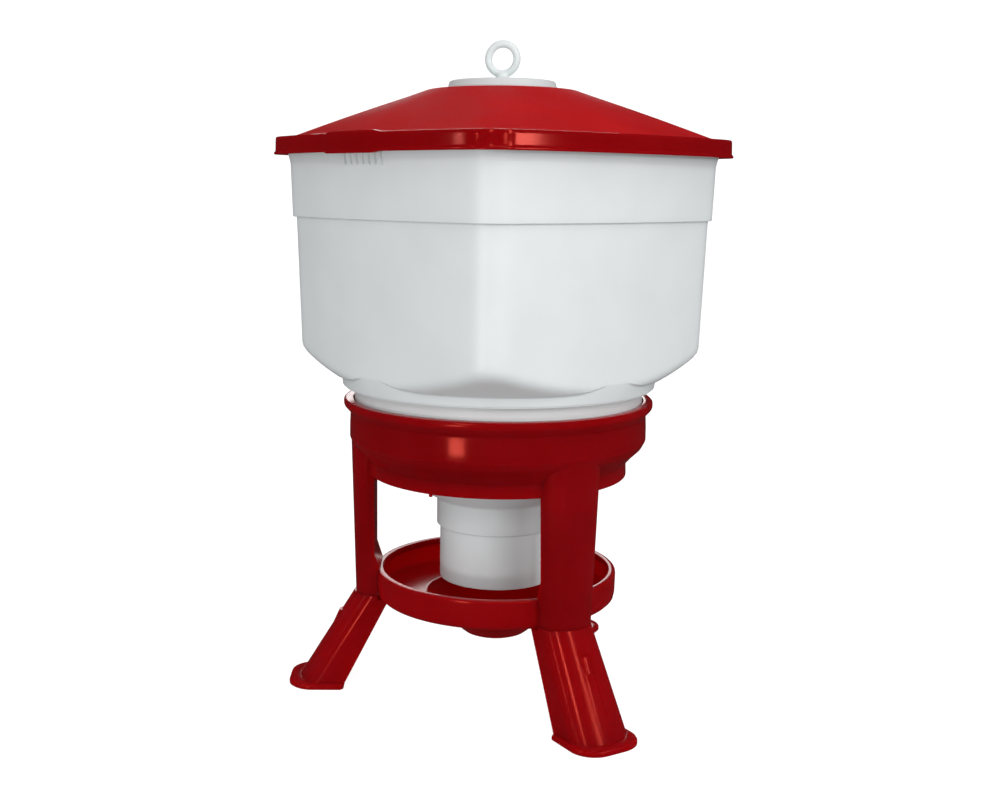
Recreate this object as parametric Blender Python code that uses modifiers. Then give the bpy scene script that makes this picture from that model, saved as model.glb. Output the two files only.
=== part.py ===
"""Poultry drinker on three legs: a 30 litre top-filled drinker of moulded plastic.

Millimetres in the values below, metres in the scene, +Z up. The drinker stands on the floor at Z 0 and its
upright axis is the empty drinker_axis. The front leg points towards -Y.
"""

import math

import bmesh
import bpy
from mathutils import Vector

MM = 0.001

# Fits, and how far a cut runs past what it cuts
CUT_PAST = 10.0
TOUCH = 0.3
NECK_FIT = 1.3
SOCKET_FIT = 0.4
SLIDE_FIT = 0.35

# Steps round a large and a small turned piece, along a bowed side and round a corner
TURN_STEPS = 48
CAP_STEPS = 28
SMALL_STEPS = 20
SIDE_STEPS = 8
CORNER_STEPS = 4

# Support ring
RING_TOP = 332.0
RING_RADIUS = 164.1
RING_WALL = 3.2
BEAD_REACH = 7.7
BEAD_HEIGHT = 14.0
BEAD_ROUND = 5.0
SHOULDER_TOP = 282.1
SHOULDER_DROP = 12.6
SHOULDER_REACH = 9.3
SHOULDER_ROUND = 5.0
LEDGE_OUTER = 155.6
LEDGE_HIGH = 274.0
LEDGE_INNER = 142.6
LEDGE_LOW = 266.0
RING_BOTTOM = 247.5
LOWER_REACH = 2.8
LOWER_ROUND = 5.0

# Columns
COLUMN_TOP = 294.5
COLUMN_BOTTOM = 108.0
COLUMN_TOP_RADIUS = 164.0
COLUMN_BOTTOM_RADIUS = 159.1
COLUMN_INNER_RADIUS = 136.6
COLUMN_TOP_HALF = 33.9
COLUMN_BOTTOM_HALF = 29.6
COLUMN_NOSE = 19.0
COLUMN_WALL = 3.0
SOCKET_TOP = 232.5
FLARE_REACH = 6.4
FLARE_HEIGHT = 20.0
LEG_ANGLES = {"leg_front": 0.0, "leg_left": -120.0, "leg_right": 120.0}

# Drinking dish
DISH_RIM = 137.0
DISH_RADIUS = 136.2
DISH_RIM_WIDTH = 9.0
DISH_RIM_HEIGHT = 5.0
DISH_WALL = 3.2
DISH_DRAFT = 0.8
DISH_BOTTOM = 103.8
DISH_EDGE_ROUND = 7.0
SUMP_RADIUS = 71.0
SUMP_BOTTOM_RADIUS = 43.0
SUMP_DEPTH = 43.8
SUMP_FILLET = 9.0
SUMP_EDGE_ROUND = 7.0

# Legs
LEG_TOP_OUTER = 160.4
LEG_TOP_INNER = 118.5
LEG_TOP_HALF = 31.0
LEG_FOOT_OUTER = 227.0
LEG_FOOT_INNER = 174.0
LEG_FOOT_HALF = 35.0
LEG_NOSE = 25.0
LEG_WALL = 3.2
SPIGOT_LENGTH = 42.0
FOOT_THICKNESS = 6.5
TOE_REACH = 12.0
HEEL_REACH = 2.5
FOOT_EDGE = 1.5
FOOT_CHAMFER = 3.0
TOE_ROUND = 24.0
CATCH_DROP = 20.0
CATCH_LENGTH = 16.0
CATCH_HEIGHT = 3.4
CATCH_HALF = 5.0

# Tank
TANK_TURN = 10.5
TANK_WALL = 3.0
TANK_CORNER = 35.0
TANK_SIDE_CURVE = 729.0
TANK_FOOT_HALF = 177.2
TANK_DRAFT = 1.65
BAND_BOTTOM = 528.0
BAND_STEP = 3.6
BAND_HEIGHT = 80.0
BAND_DRAFT = 1.7
FLANGE_REACH = 3.5
FLANGE_THICKNESS = 3.5
FLANGE_FLARE = 19.0
RIB_COUNT = 9
RIB_PITCH = 9.6
RIB_WIDTH = 2.6
RIB_HEIGHT = 16.0
RIB_REACH = 2.2
RIB_SET_BACK = 1.2
COLLAR_BOTTOM = 346.0
COLLAR_HEIGHT = 11.5
COLLAR_RADIUS = 172.6
COLLAR_LIP = 1.2
COLLAR_RISE = 9.0
COLLAR_RISE_WIDTH = 10.5
FUNNEL_START = 177.3
FUNNEL_ANGLE = 31.0
FUNNEL_ROUND = 12.0
FLOOR_TOP = 256.5
FLOOR_DROP = 37.0
SEAT_HOLE = 24.0
SEAT_THICKNESS = 4.0

# Outlet
SLEEVE_RADIUS = 67.3
SLEEVE_BOTTOM = 187.5
SLEEVE_WALL = 3.0
OUTLET_RADIUS = 63.5
OUTLET_WALL = 3.0
OUTLET_BOTTOM = 125.8
OUTLET_SEAL = 3.0
GUIDE_TOP = 182.5
GUIDE_HEIGHT = 10.0
GUIDE_HUB = 9.0
GUIDE_ARM = 5.0

# Lid
LID_HALF = 202.0
LID_CORNER = 40.0
LID_SIDE_CURVE = 735.0
LID_WALL = 3.0
LID_BAND_BOTTOM = 594.9
LID_BAND_HEIGHT = 19.0
LID_LIP = 2.0
LID_LEDGE = 16.0
LID_CROWN = 1.0
PLATEAU_TOP = 664.0
PLATEAU_RADIUS = 81.4
GRIP_HALF_LENGTH = 42.5
GRIP_REACH = 2.4
GRIP_RISE = 2.0
GRIP_DROP = 1.5
GRIP_END = 9.0
GASKET_WIDTH = 8.0

# Cap and pull ring
CAP_RADIUS = 59.9
CAP_TOP_RADIUS = 56.8
CAP_FLANGE = 3.5
CAP_HEIGHT = 10.1
CAP_WALL = 3.0
SPIGOT_RADIUS = 46.0
CAP_DEPTH = 14.0
CAP_SEAL = 2.4
SHANK_RADIUS = 8.6
SHANK_LENGTH = 44.0
PULL_RADIUS = 15.65
PULL_SECTION = 3.95
PULL_RISE = 23.8
PULL_TURN = -46.0

# Valve
ROD_RADIUS = 4.0
ROD_GRIP = 16.0
PIN_RADIUS = 1.5
PLUG_RADIUS = 34.0
PLUG_THICKNESS = 6.0
PLUG_HUB = 12.0
PLUG_SEAL = 3.0
NUT_RADIUS = 9.0
NUT_HEIGHT = 7.0


def bowed_square(angle, half, corner, side):
    """Distance from the axis to a square with bowed sides and round corners, in the direction of angle."""
    folded = abs((angle + math.pi / 4) % (math.pi / 2) - math.pi / 4)
    arc_centre = half - side
    corner_centre = (math.sqrt(2 * (side - corner) ** 2 - arc_centre**2) + arc_centre) / 2
    normal = math.atan2(corner_centre, corner_centre - arc_centre)
    if folded <= math.atan2(side * math.sin(normal), arc_centre + side * math.cos(normal)):
        return arc_centre * math.cos(folded) + math.sqrt(side**2 - (arc_centre * math.sin(folded)) ** 2)
    offset = corner_centre * (math.cos(folded) - math.sin(folded))
    return corner_centre * (math.cos(folded) + math.sin(folded)) + math.sqrt(corner**2 - offset**2)


def tank_square(angle, half):
    return bowed_square(angle, half, TANK_CORNER, TANK_SIDE_CURVE)


def lid_square(angle, half):
    return bowed_square(angle, half, LID_CORNER, LID_SIDE_CURVE)


def square_angles():
    """Directions round a bowed square: even steps along each side, closer ones round each corner."""
    meet = math.radians(37)
    sides = [meet * (2 * step / SIDE_STEPS - 1) for step in range(SIDE_STEPS)]
    corners = [meet + (math.pi / 2 - 2 * meet) * step / CORNER_STEPS for step in range(CORNER_STEPS)]
    return [quarter * math.pi / 2 + angle for quarter in range(4) for angle in sides + corners]


def material(name, colour, roughness):
    made = bpy.data.materials.new(name)
    made.use_nodes = True
    shader = made.node_tree.nodes["Principled BSDF"]
    shader.inputs["Base Color"].default_value = (*colour, 1.0)
    shader.inputs["Roughness"].default_value = roughness
    made.diffuse_color = (*colour, 1.0)
    return made


def placed(name, mesh, collection, look=None, turn=0.0):
    """Object on the drinker's axis, turned by so many degrees about it."""
    made = bpy.data.objects.new(name, mesh)
    collection.objects.link(made)
    made.parent = AXIS
    made.rotation_euler.z = math.radians(turn)
    if look:
        mesh.materials.append(look)
    if collection == CUTTERS:
        made.hide_render = True
        made.display_type = "WIRE"
    return made


def smooth(mesh, sharp=35.0):
    mesh.shade_smooth()
    mesh.set_sharp_from_angle(angle=math.radians(sharp))


def turned(name, profile, collection, look=None, closed=True, steps=TURN_STEPS):
    """Turned shape: the profile of (radius, height) points runs down its outer side, top to bottom."""
    mesh = bpy.data.meshes.new(name)
    points = [(radius * MM, 0.0, height * MM) for radius, height in profile]
    edges = [(i, i + 1) for i in range(len(points) - 1)]
    if closed:
        edges.append((len(points) - 1, 0))
    mesh.from_pydata(points, edges, [])
    made = placed(name, mesh, collection, look)
    screw = made.modifiers.new("Screw", "SCREW")
    screw.steps = steps
    screw.render_steps = steps
    screw.use_merge_vertices = True
    screw.merge_threshold = 0.00001
    screw.use_smooth_shade = True
    return made


def swept(name, section, collection, look=None, turn=0.0):
    """Shell round the axis: section(angle) is its loop of (radius, height), down the outside first."""
    angles = square_angles()
    rows = [section(angle) for angle in angles]
    count = len(rows[0])
    points = [
        (radius * math.cos(angle) * MM, radius * math.sin(angle) * MM, height * MM)
        for angle, row in zip(angles, rows)
        for radius, height in row
    ]
    faces = []
    for j in range(len(rows)):
        k = (j + 1) % len(rows)
        for i in range(count):
            n = (i + 1) % count
            faces.append((j * count + i, j * count + n, k * count + n, k * count + i))
    mesh = bpy.data.meshes.new(name)
    mesh.from_pydata(points, [], faces)
    smooth(mesh)
    return placed(name, mesh, collection, look, turn)


def lofted(name, sections, collection, look=None, turn=0.0):
    """Solid between outlines of equal count, each anticlockwise from above, listed from the lowest up."""
    shape = bmesh.new()
    rings = [[shape.verts.new(Vector(point) * MM) for point in section] for section in sections]
    for low, high in zip(rings, rings[1:]):
        for i in range(len(low)):
            n = (i + 1) % len(low)
            shape.faces.new((low[i], low[n], high[n], high[i]))
    shape.faces.new(list(reversed(rings[0])))
    shape.faces.new(rings[-1])
    mesh = bpy.data.meshes.new(name)
    shape.to_mesh(mesh)
    shape.free()
    smooth(mesh)
    return placed(name, mesh, collection, look, turn)


def combine(target, operation, *others):
    for other in others:
        step = target.modifiers.new(other.name, "BOOLEAN")
        step.operation = operation
        step.object = other
        step.solver = "EXACT"


def d_outline(outer, inner, half, nose, height, steps=10):
    """Half-round outline that points along -Y: a round nose outwards and straight sides inwards."""
    nose = min(nose, outer - inner - 1.0)
    points = [(-half, -inner, height)]
    for step in range(steps + 1):
        angle = math.pi * (1 + step / steps)
        points.append((half * math.cos(angle), -(outer - nose) + nose * math.sin(angle), height))
    points.append((half, -inner, height))
    return points


def arc(centre, radius, start, end, steps):
    """Points (radius, height) on an arc, by angles in degrees from the outward direction."""
    return [
        (
            centre[0] + radius * math.cos(math.radians(start + (end - start) * step / steps)),
            centre[1] + radius * math.sin(math.radians(start + (end - start) * step / steps)),
        )
        for step in range(steps + 1)
    ]


def build_ring(look):
    """Stepped ring with its three hollow columns, one moulding."""
    shoulder = SHOULDER_TOP - SHOULDER_DROP
    lower = LEDGE_INNER + LOWER_REACH
    outer = (
        [(0.0, RING_TOP)]
        + arc((RING_RADIUS + BEAD_REACH - BEAD_ROUND, RING_TOP - BEAD_ROUND), BEAD_ROUND, 90, -20, 4)
        + [(RING_RADIUS + 1.5, RING_TOP - BEAD_HEIGHT), (RING_RADIUS, RING_TOP - BEAD_HEIGHT - 2.5)]
        + arc((RING_RADIUS - SHOULDER_ROUND, SHOULDER_TOP), SHOULDER_ROUND, 0, -50, 2)
        + [(RING_RADIUS - SHOULDER_REACH, shoulder), (lower, shoulder - SHOULDER_REACH)]
        + arc((lower - LOWER_ROUND, RING_BOTTOM + LOWER_ROUND), LOWER_ROUND, 0, -90, 2)
        + [(0.0, RING_BOTTOM)]
    )
    ring = turned("support_ring", outer, PARTS, look, closed=False)
    hollow = turned(
        "ring_hollow",
        [
            (0.0, RING_TOP + CUT_PAST),
            (RING_RADIUS - RING_WALL, RING_TOP + CUT_PAST),
            (RING_RADIUS - RING_WALL, SHOULDER_TOP + 1.0),
            (LEDGE_OUTER, LEDGE_HIGH),
            (LEDGE_INNER, LEDGE_LOW),
            (LEDGE_INNER - 0.7, LEDGE_LOW - 7.0),
            (LEDGE_INNER - 2.2, RING_BOTTOM - CUT_PAST),
            (0.0, RING_BOTTOM - CUT_PAST),
        ],
        CUTTERS,
        closed=False,
    )
    dish_room = turned("dish_room", dish_room_profile(COLUMN_BOTTOM - CUT_PAST), CUTTERS, closed=False)
    heights = (COLUMN_BOTTOM, DISH_RIM + TOUCH, DISH_RIM + FLARE_HEIGHT, COLUMN_TOP)
    for name, angle in LEG_ANGLES.items():
        column = lofted(
            f"{name}_column",
            [column_outline(height) for height in heights],
            CUTTERS,
            turn=angle,
        )
        combine(ring, "UNION", column)
    combine(ring, "DIFFERENCE", hollow, dish_room)
    for name, angle in LEG_ANGLES.items():
        socket = lofted(
            f"{name}_socket",
            [socket_outline(height, 0.0) for height in (COLUMN_BOTTOM - CUT_PAST, SOCKET_TOP)],
            CUTTERS,
            turn=angle,
        )
        combine(ring, "DIFFERENCE", socket)


def dish_room_profile(low):
    """Space round the dish, from low up to its rim, with its gap."""
    room = DISH_RADIUS + TOUCH
    high = DISH_RIM + TOUCH
    return [(0.0, high), (room, high), (room, low), (0.0, low)]


def column_size(height):
    """Outer radius and half width of a column at a height."""
    rise = (height - COLUMN_BOTTOM) / (COLUMN_TOP - COLUMN_BOTTOM)
    outer = COLUMN_BOTTOM_RADIUS + (COLUMN_TOP_RADIUS - COLUMN_BOTTOM_RADIUS) * rise
    return outer, COLUMN_BOTTOM_HALF + (COLUMN_TOP_HALF - COLUMN_BOTTOM_HALF) * rise


def column_outline(height):
    """Outline of a column, which flares inwards over the rim of the dish."""
    outer, half = column_size(height)
    flare = min(max((DISH_RIM + FLARE_HEIGHT - height) / (FLARE_HEIGHT - TOUCH), 0.0), 1.0)
    return d_outline(outer, COLUMN_INNER_RADIUS - FLARE_REACH * flare, half, COLUMN_NOSE, height)


def socket_outline(height, shrink):
    """Outline of the leg socket inside a column at a height, drawn in by shrink on all sides."""
    outer, half = column_size(height)
    gone = COLUMN_WALL + shrink
    inner = COLUMN_INNER_RADIUS + COLUMN_WALL + shrink
    return d_outline(outer - gone, inner, half - gone, COLUMN_NOSE - gone, height)


def build_dish(look):
    """Round dish with a thick rim and a cone-shaped sump under the outlet."""
    wall = DISH_RADIUS - DISH_DRAFT
    floor = DISH_BOTTOM + DISH_WALL
    sump = DISH_BOTTOM - SUMP_DEPTH
    rim_inside = DISH_RADIUS - DISH_RIM_WIDTH
    inner = [
        (0.0, sump + DISH_WALL),
        (SUMP_BOTTOM_RADIUS - SUMP_EDGE_ROUND, sump + DISH_WALL),
        (SUMP_RADIUS - DISH_WALL, floor),
        (wall - DISH_EDGE_ROUND, floor),
        (wall - DISH_WALL, DISH_BOTTOM + DISH_EDGE_ROUND),
        (wall - DISH_WALL, DISH_RIM - 2 * DISH_RIM_HEIGHT),
        (rim_inside, DISH_RIM - DISH_RIM_HEIGHT),
        (rim_inside + 1.5, DISH_RIM - 0.5),
    ]
    outer = (
        [(DISH_RADIUS - DISH_RIM_WIDTH / 2, DISH_RIM), (DISH_RADIUS - 1.2, DISH_RIM - 0.8)]
        + [(DISH_RADIUS, DISH_RIM - 3.0)]
        + arc((wall - DISH_EDGE_ROUND, DISH_BOTTOM + DISH_EDGE_ROUND), DISH_EDGE_ROUND, 0, -90, 3)
        + [(SUMP_RADIUS + SUMP_FILLET, DISH_BOTTOM)]
        + [(SUMP_RADIUS - SUMP_FILLET / 4, DISH_BOTTOM - SUMP_FILLET / 2)]
        + [(SUMP_BOTTOM_RADIUS + SUMP_EDGE_ROUND, sump + SUMP_EDGE_ROUND)]
        + [(SUMP_BOTTOM_RADIUS - SUMP_EDGE_ROUND / 2, sump + 0.8)]
        + [(SUMP_BOTTOM_RADIUS - 2 * SUMP_EDGE_ROUND, sump), (0.0, sump)]
    )
    turned("drinking_dish", inner + outer, PARTS, look, closed=False)


def leg_outline(height, shrink, inner_shrink):
    """Outline of a leg at a height, drawn in by shrink outside and inner_shrink at its inner face."""
    drop = 1 - height / (COLUMN_BOTTOM - TOUCH)
    outer = LEG_TOP_OUTER + (LEG_FOOT_OUTER - LEG_TOP_OUTER) * drop
    inner = LEG_TOP_INNER + (LEG_FOOT_INNER - LEG_TOP_INNER) * drop
    half = LEG_TOP_HALF + (LEG_FOOT_HALF - LEG_TOP_HALF) * drop
    return d_outline(outer - shrink, inner + inner_shrink, half - shrink, LEG_NOSE - shrink, height)


def build_leg(name, angle, look, relief):
    """Channel leg, open to the inside, with a flat foot, a spigot for the column and a catch."""
    top = COLUMN_BOTTOM - TOUCH
    channel_top = DISH_BOTTOM - TOUCH - LEG_WALL
    leg = lofted(name, [leg_outline(1.0, 0.0, 0.0), leg_outline(top, 0.0, 0.0)], PARTS, look, turn=angle)
    spigot = lofted(
        f"{name}_spigot",
        [socket_outline(height, SOCKET_FIT) for height in (top - 2.0, top + SPIGOT_LENGTH)],
        CUTTERS,
        turn=angle,
    )
    foot = lofted(
        f"{name}_foot",
        [
            foot_outline(0.0, 1.0),
            foot_outline(1.0, 0.0),
            foot_outline(FOOT_THICKNESS - 1.5, 0.0),
            foot_outline(FOOT_THICKNESS, 1.2),
        ],
        CUTTERS,
        turn=angle,
    )
    channel = lofted(
        f"{name}_channel",
        [leg_outline(height, LEG_WALL, -30.0) for height in (FOOT_THICKNESS - 0.4, channel_top)],
        CUTTERS,
        turn=angle,
    )
    combine(leg, "UNION", foot)
    combine(leg, "DIFFERENCE", channel, relief)
    combine(leg, "UNION", spigot, leg_catch(name, angle))


def foot_outline(height, shrink, steps=5):
    """Foot seen from above: square heel, round toe."""
    toe = LEG_FOOT_OUTER + TOE_REACH - shrink
    half = LEG_FOOT_HALF + FOOT_EDGE - shrink
    heel = LEG_FOOT_INNER - HEEL_REACH + shrink
    points = [(-half + FOOT_CHAMFER, -heel, height), (-half, -heel - FOOT_CHAMFER, height)]
    for side in (-1, 1):
        start = math.pi if side < 0 else 1.5 * math.pi
        for step in range(steps + 1):
            angle = start + math.pi / 2 * step / steps
            x = side * (half - TOE_ROUND) + TOE_ROUND * math.cos(angle)
            y = -(toe - TOE_ROUND) + TOE_ROUND * math.sin(angle)
            points.append((x, y, height))
    points += [(half, -heel - FOOT_CHAMFER, height), (half - FOOT_CHAMFER, -heel, height)]
    return points


def leg_catch(name, angle):
    """Wedge on the ridge of the leg, thick at its top edge."""
    top = COLUMN_BOTTOM - TOUCH
    slope = (LEG_FOOT_OUTER - LEG_TOP_OUTER) / top
    high = top - CATCH_DROP
    low = high - CATCH_LENGTH
    outer_high = LEG_TOP_OUTER + slope * CATCH_DROP
    outer_low = LEG_TOP_OUTER + slope * (CATCH_DROP + CATCH_LENGTH)
    reach = CATCH_HEIGHT * 1.2
    return lofted(
        f"{name}_catch",
        [
            [
                (-CATCH_HALF, -outer_low + 2.0, low),
                (-CATCH_HALF + 1, -outer_low - 0.3, low),
                (CATCH_HALF - 1, -outer_low - 0.3, low),
                (CATCH_HALF, -outer_low + 2.0, low),
            ],
            [
                (-CATCH_HALF, -outer_high + 2.0, high),
                (-CATCH_HALF + 1, -outer_high - reach, high - 1),
                (CATCH_HALF - 1, -outer_high - reach, high - 1),
                (CATCH_HALF, -outer_high + 2.0, high),
            ],
        ],
        CUTTERS,
        turn=angle,
    )


def side_share(angle):
    """1 at the middle of a flat side of the tank, falling to 0 on both sides of it."""
    off = (math.degrees(angle) + 45) % 90 - 45
    return math.exp(-((off / COLLAR_RISE_WIDTH) ** 2))


def rounded_min(a, b, size):
    """The smaller of two lengths, with the crease between them rounded over about size."""
    blend = max(size - abs(a - b), 0.0) / size
    return min(a, b) - blend * blend * size / 4


def lower_wall(angle, height):
    """Outer radius of the tank below its step: drafted sides meet a funnel under each corner."""
    foot = COLLAR_BOTTOM + COLLAR_HEIGHT
    half = TANK_FOOT_HALF + (height - foot) * math.tan(math.radians(TANK_DRAFT))
    funnel = FUNNEL_START + (height - foot) / math.tan(math.radians(FUNNEL_ANGLE))
    return rounded_min(tank_square(angle, half), funnel, FUNNEL_ROUND)


def band_half(height):
    """Half width of the tank's upper band, above the step."""
    foot = COLLAR_BOTTOM + COLLAR_HEIGHT
    below = TANK_FOOT_HALF + (BAND_BOTTOM - foot) * math.tan(math.radians(TANK_DRAFT))
    return below + BAND_STEP + (height - BAND_BOTTOM) * math.tan(math.radians(BAND_DRAFT))


def tank_section(angle):
    """Closed section of the tank at one direction: down the outside, through the floor, up the inside."""
    rim = BAND_BOTTOM + BAND_HEIGHT
    flange = rim - FLANGE_THICKNESS
    side = side_share(angle)
    crease = COLLAR_BOTTOM + COLLAR_HEIGHT + COLLAR_RISE * side
    lip = COLLAR_RADIUS + COLLAR_LIP + (TANK_FOOT_HALF - COLLAR_RADIUS) * side
    neck = RING_RADIUS - RING_WALL - NECK_FIT
    lift = TOUCH * 1.18
    slope = (LEDGE_HIGH - LEDGE_LOW) / (LEDGE_OUTER - LEDGE_INNER)
    seat = FLOOR_TOP - FLOOR_DROP
    bore = SLEEVE_RADIUS - SLEEVE_WALL
    middle = (BAND_BOTTOM + crease + 50) / 2
    outside = [
        (tank_square(angle, band_half(rim) + FLANGE_REACH), rim),
        (tank_square(angle, band_half(rim) + FLANGE_REACH), flange),
        (tank_square(angle, band_half(flange - FLANGE_FLARE)), flange - FLANGE_FLARE),
        (tank_square(angle, band_half(BAND_BOTTOM)), BAND_BOTTOM + 0.8),
        (tank_square(angle, band_half(BAND_BOTTOM) - 0.8), BAND_BOTTOM),
        (lower_wall(angle, BAND_BOTTOM - 0.6), BAND_BOTTOM - 0.6),
        (lower_wall(angle, middle), middle),
    ]
    outside += [(lower_wall(angle, crease + up), crease + up) for up in (50, 30, 16, 6)]
    outside += [
        (min(lower_wall(angle, crease), lip), crease),
        (COLLAR_RADIUS, COLLAR_BOTTOM + 1.2),
        (COLLAR_RADIUS - 1.2, COLLAR_BOTTOM),
        (neck, COLLAR_BOTTOM),
        (neck, SHOULDER_TOP + 3.0),
        (LEDGE_OUTER - 1.2, LEDGE_HIGH - 1.2 * slope + lift),
        (LEDGE_INNER - 2.5, LEDGE_LOW - 2.5 * slope + lift),
        (LEDGE_INNER - 4.0, FLOOR_TOP),
        (SLEEVE_RADIUS + 4.0, seat),
        (SLEEVE_RADIUS, seat - 4.0),
        (SLEEVE_RADIUS, SLEEVE_BOTTOM),
    ]
    inside = [
        (bore, SLEEVE_BOTTOM),
        (bore, seat - SEAT_THICKNESS),
        (SEAT_HOLE, seat - SEAT_THICKNESS),
        (SEAT_HOLE, seat),
        (SLEEVE_RADIUS - 2.3, seat),
        (LEDGE_INNER - 6.5, FLOOR_TOP + 2.4),
        (LEDGE_INNER - 5.5, LEDGE_LOW + 2.5),
        (LEDGE_OUTER - 3.6, LEDGE_HIGH + 2.8),
        (neck - TANK_WALL, SHOULDER_TOP + 4.5),
        (neck - TANK_WALL, COLLAR_BOTTOM + TANK_WALL),
    ]
    inside += [(lower_wall(angle, crease + up) - TANK_WALL, crease + up + 2) for up in (4, 16, 34)]
    inside += [
        (lower_wall(angle, BAND_BOTTOM) - TANK_WALL, BAND_BOTTOM + 1),
        (tank_square(angle, band_half(rim)) - TANK_WALL, rim),
    ]
    return outside + inside


def grip_ribs(name, turn):
    """Row of small upright ribs under the tank's flange, where a hand lifts the tank."""
    rim = BAND_BOTTOM + BAND_HEIGHT
    high = rim - FLANGE_THICKNESS / 2
    low = high - RIB_HEIGHT
    wall = band_half(low)
    back = wall - TANK_WALL / 2
    profile = [
        (back, low),
        (wall, low),
        (wall + RIB_REACH, low + RIB_REACH),
        (band_half(rim) + FLANGE_REACH - RIB_SET_BACK, high),
        (back, high),
    ]
    shape = bmesh.new()
    for number in range(RIB_COUNT):
        middle = (number - (RIB_COUNT - 1) / 2) * RIB_PITCH
        ends = [
            [shape.verts.new(Vector((x, middle + side, z)) * MM) for x, z in profile]
            for side in (-RIB_WIDTH / 2, RIB_WIDTH / 2)
        ]
        shape.faces.new(list(reversed(ends[0])))
        shape.faces.new(ends[1])
        for i in range(len(profile)):
            n = (i + 1) % len(profile)
            shape.faces.new((ends[0][i], ends[0][n], ends[1][n], ends[1][i]))
    bmesh.ops.recalc_face_normals(shape, faces=shape.faces)
    mesh = bpy.data.meshes.new(name)
    shape.to_mesh(mesh)
    shape.free()
    return placed(name, mesh, CUTTERS, turn=turn)


def grip(angle):
    """How far the lid's grip swelling is developed at a direction, from 0 to 1: on the two X sides."""
    along = abs(LID_HALF * math.tan((angle + math.pi / 2) % math.pi - math.pi / 2))
    return min(max((GRIP_HALF_LENGTH - along) / GRIP_END + 0.5, 0.0), 1.0)


def lid_section(angle):
    """Closed section of the lid: ledge and band outside, then its hollow underside."""
    swell = grip(angle)
    top = LID_BAND_BOTTOM + LID_BAND_HEIGHT
    bottom = LID_BAND_BOTTOM - GRIP_DROP * swell
    edge = lid_square(angle, LID_HALF) + GRIP_REACH * swell
    ledge = lid_square(angle, LID_HALF - LID_LEDGE)
    hole = SPIGOT_RADIUS + TOUCH
    under = top - LID_WALL
    outside = [
        (hole, PLATEAU_TOP),
        (PLATEAU_RADIUS - 2.0, PLATEAU_TOP),
        (PLATEAU_RADIUS, PLATEAU_TOP - 0.8),
        ((PLATEAU_RADIUS + ledge) / 2, (PLATEAU_TOP + top) / 2 + LID_CROWN),
        (ledge, top + 0.4),
        (edge - 4.0, top + GRIP_RISE * swell),
        (edge - 1.2, top + GRIP_RISE * swell - 1.2),
        (edge, top + GRIP_RISE * swell - 4.0),
        (edge + 0.6, bottom + 3.4),
        (edge + LID_LIP, bottom + 2.4),
        (edge + LID_LIP, bottom),
    ]
    inside = [
        (lid_square(angle, LID_HALF) - LID_WALL, bottom),
        (lid_square(angle, LID_HALF) - LID_WALL, under),
        (ledge - LID_WALL / 2, under),
        (PLATEAU_RADIUS - 2.0, PLATEAU_TOP - LID_WALL),
        (hole, PLATEAU_TOP - LID_WALL),
    ]
    return outside + inside


def gasket_section(angle):
    """Flat strip on the tank's flange, under the lid's ledge."""
    low = BAND_BOTTOM + BAND_HEIGHT + TOUCH
    high = LID_BAND_BOTTOM + LID_BAND_HEIGHT - LID_WALL - TOUCH
    outer = tank_square(angle, band_half(low) + FLANGE_REACH - 1.0)
    return [(outer, high), (outer, low), (outer - GASKET_WIDTH, low), (outer - GASKET_WIDTH, high)]


def build_cap(look, rubber):
    """Round cap: shallow disc over the plateau, spigot down through the lid, bore for the shank."""
    low = PLATEAU_TOP + TOUCH
    top = PLATEAU_TOP + CAP_HEIGHT
    bore = SHANK_RADIUS + SLIDE_FIT
    bottom = PLATEAU_TOP - CAP_DEPTH
    groove = top - 5.0
    turned(
        "cap",
        [
            (bore, top),
            (CAP_TOP_RADIUS - 2.4, top),
            (CAP_TOP_RADIUS - 0.6, top - 0.7),
            (CAP_TOP_RADIUS, top - 2.2),
            (CAP_RADIUS - 1.0, low + CAP_FLANGE),
            (CAP_RADIUS, low + CAP_FLANGE - 0.8),
            (CAP_RADIUS, low),
            (CAP_RADIUS - 3.0, low),
            (CAP_RADIUS - 3.0, low + CAP_SEAL + TOUCH),
            (SPIGOT_RADIUS, low + CAP_SEAL + TOUCH),
            (SPIGOT_RADIUS, bottom),
            (SPIGOT_RADIUS - CAP_WALL, bottom),
            (SPIGOT_RADIUS - CAP_WALL, top - CAP_WALL),
            (bore + 6.0, top - CAP_WALL),
            (bore + 6.0, bottom),
            (bore, bottom),
            (bore, groove - 3.0),
            (bore + 2.4, groove - 3.0),
            (bore + 2.4, groove),
            (bore, groove),
        ],
        PARTS,
        look,
        steps=CAP_STEPS,
    )
    turned(
        "cap_seal",
        [
            (CAP_RADIUS - 3.0 - TOUCH, low + CAP_SEAL),
            (CAP_RADIUS - 3.0 - TOUCH, low),
            (SPIGOT_RADIUS + TOUCH, low),
            (SPIGOT_RADIUS + TOUCH, low + CAP_SEAL),
        ],
        PARTS,
        rubber,
        steps=CAP_STEPS,
    )
    turned(
        "shaft_seal",
        [
            (bore + 2.4 - TOUCH, groove - TOUCH),
            (bore + 2.4 - TOUCH, groove - 3.0 + TOUCH),
            (SHANK_RADIUS + 0.1, groove - 3.0 + TOUCH),
            (SHANK_RADIUS + 0.1, groove - TOUCH),
        ],
        PARTS,
        rubber,
        steps=SMALL_STEPS,
    )


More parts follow.
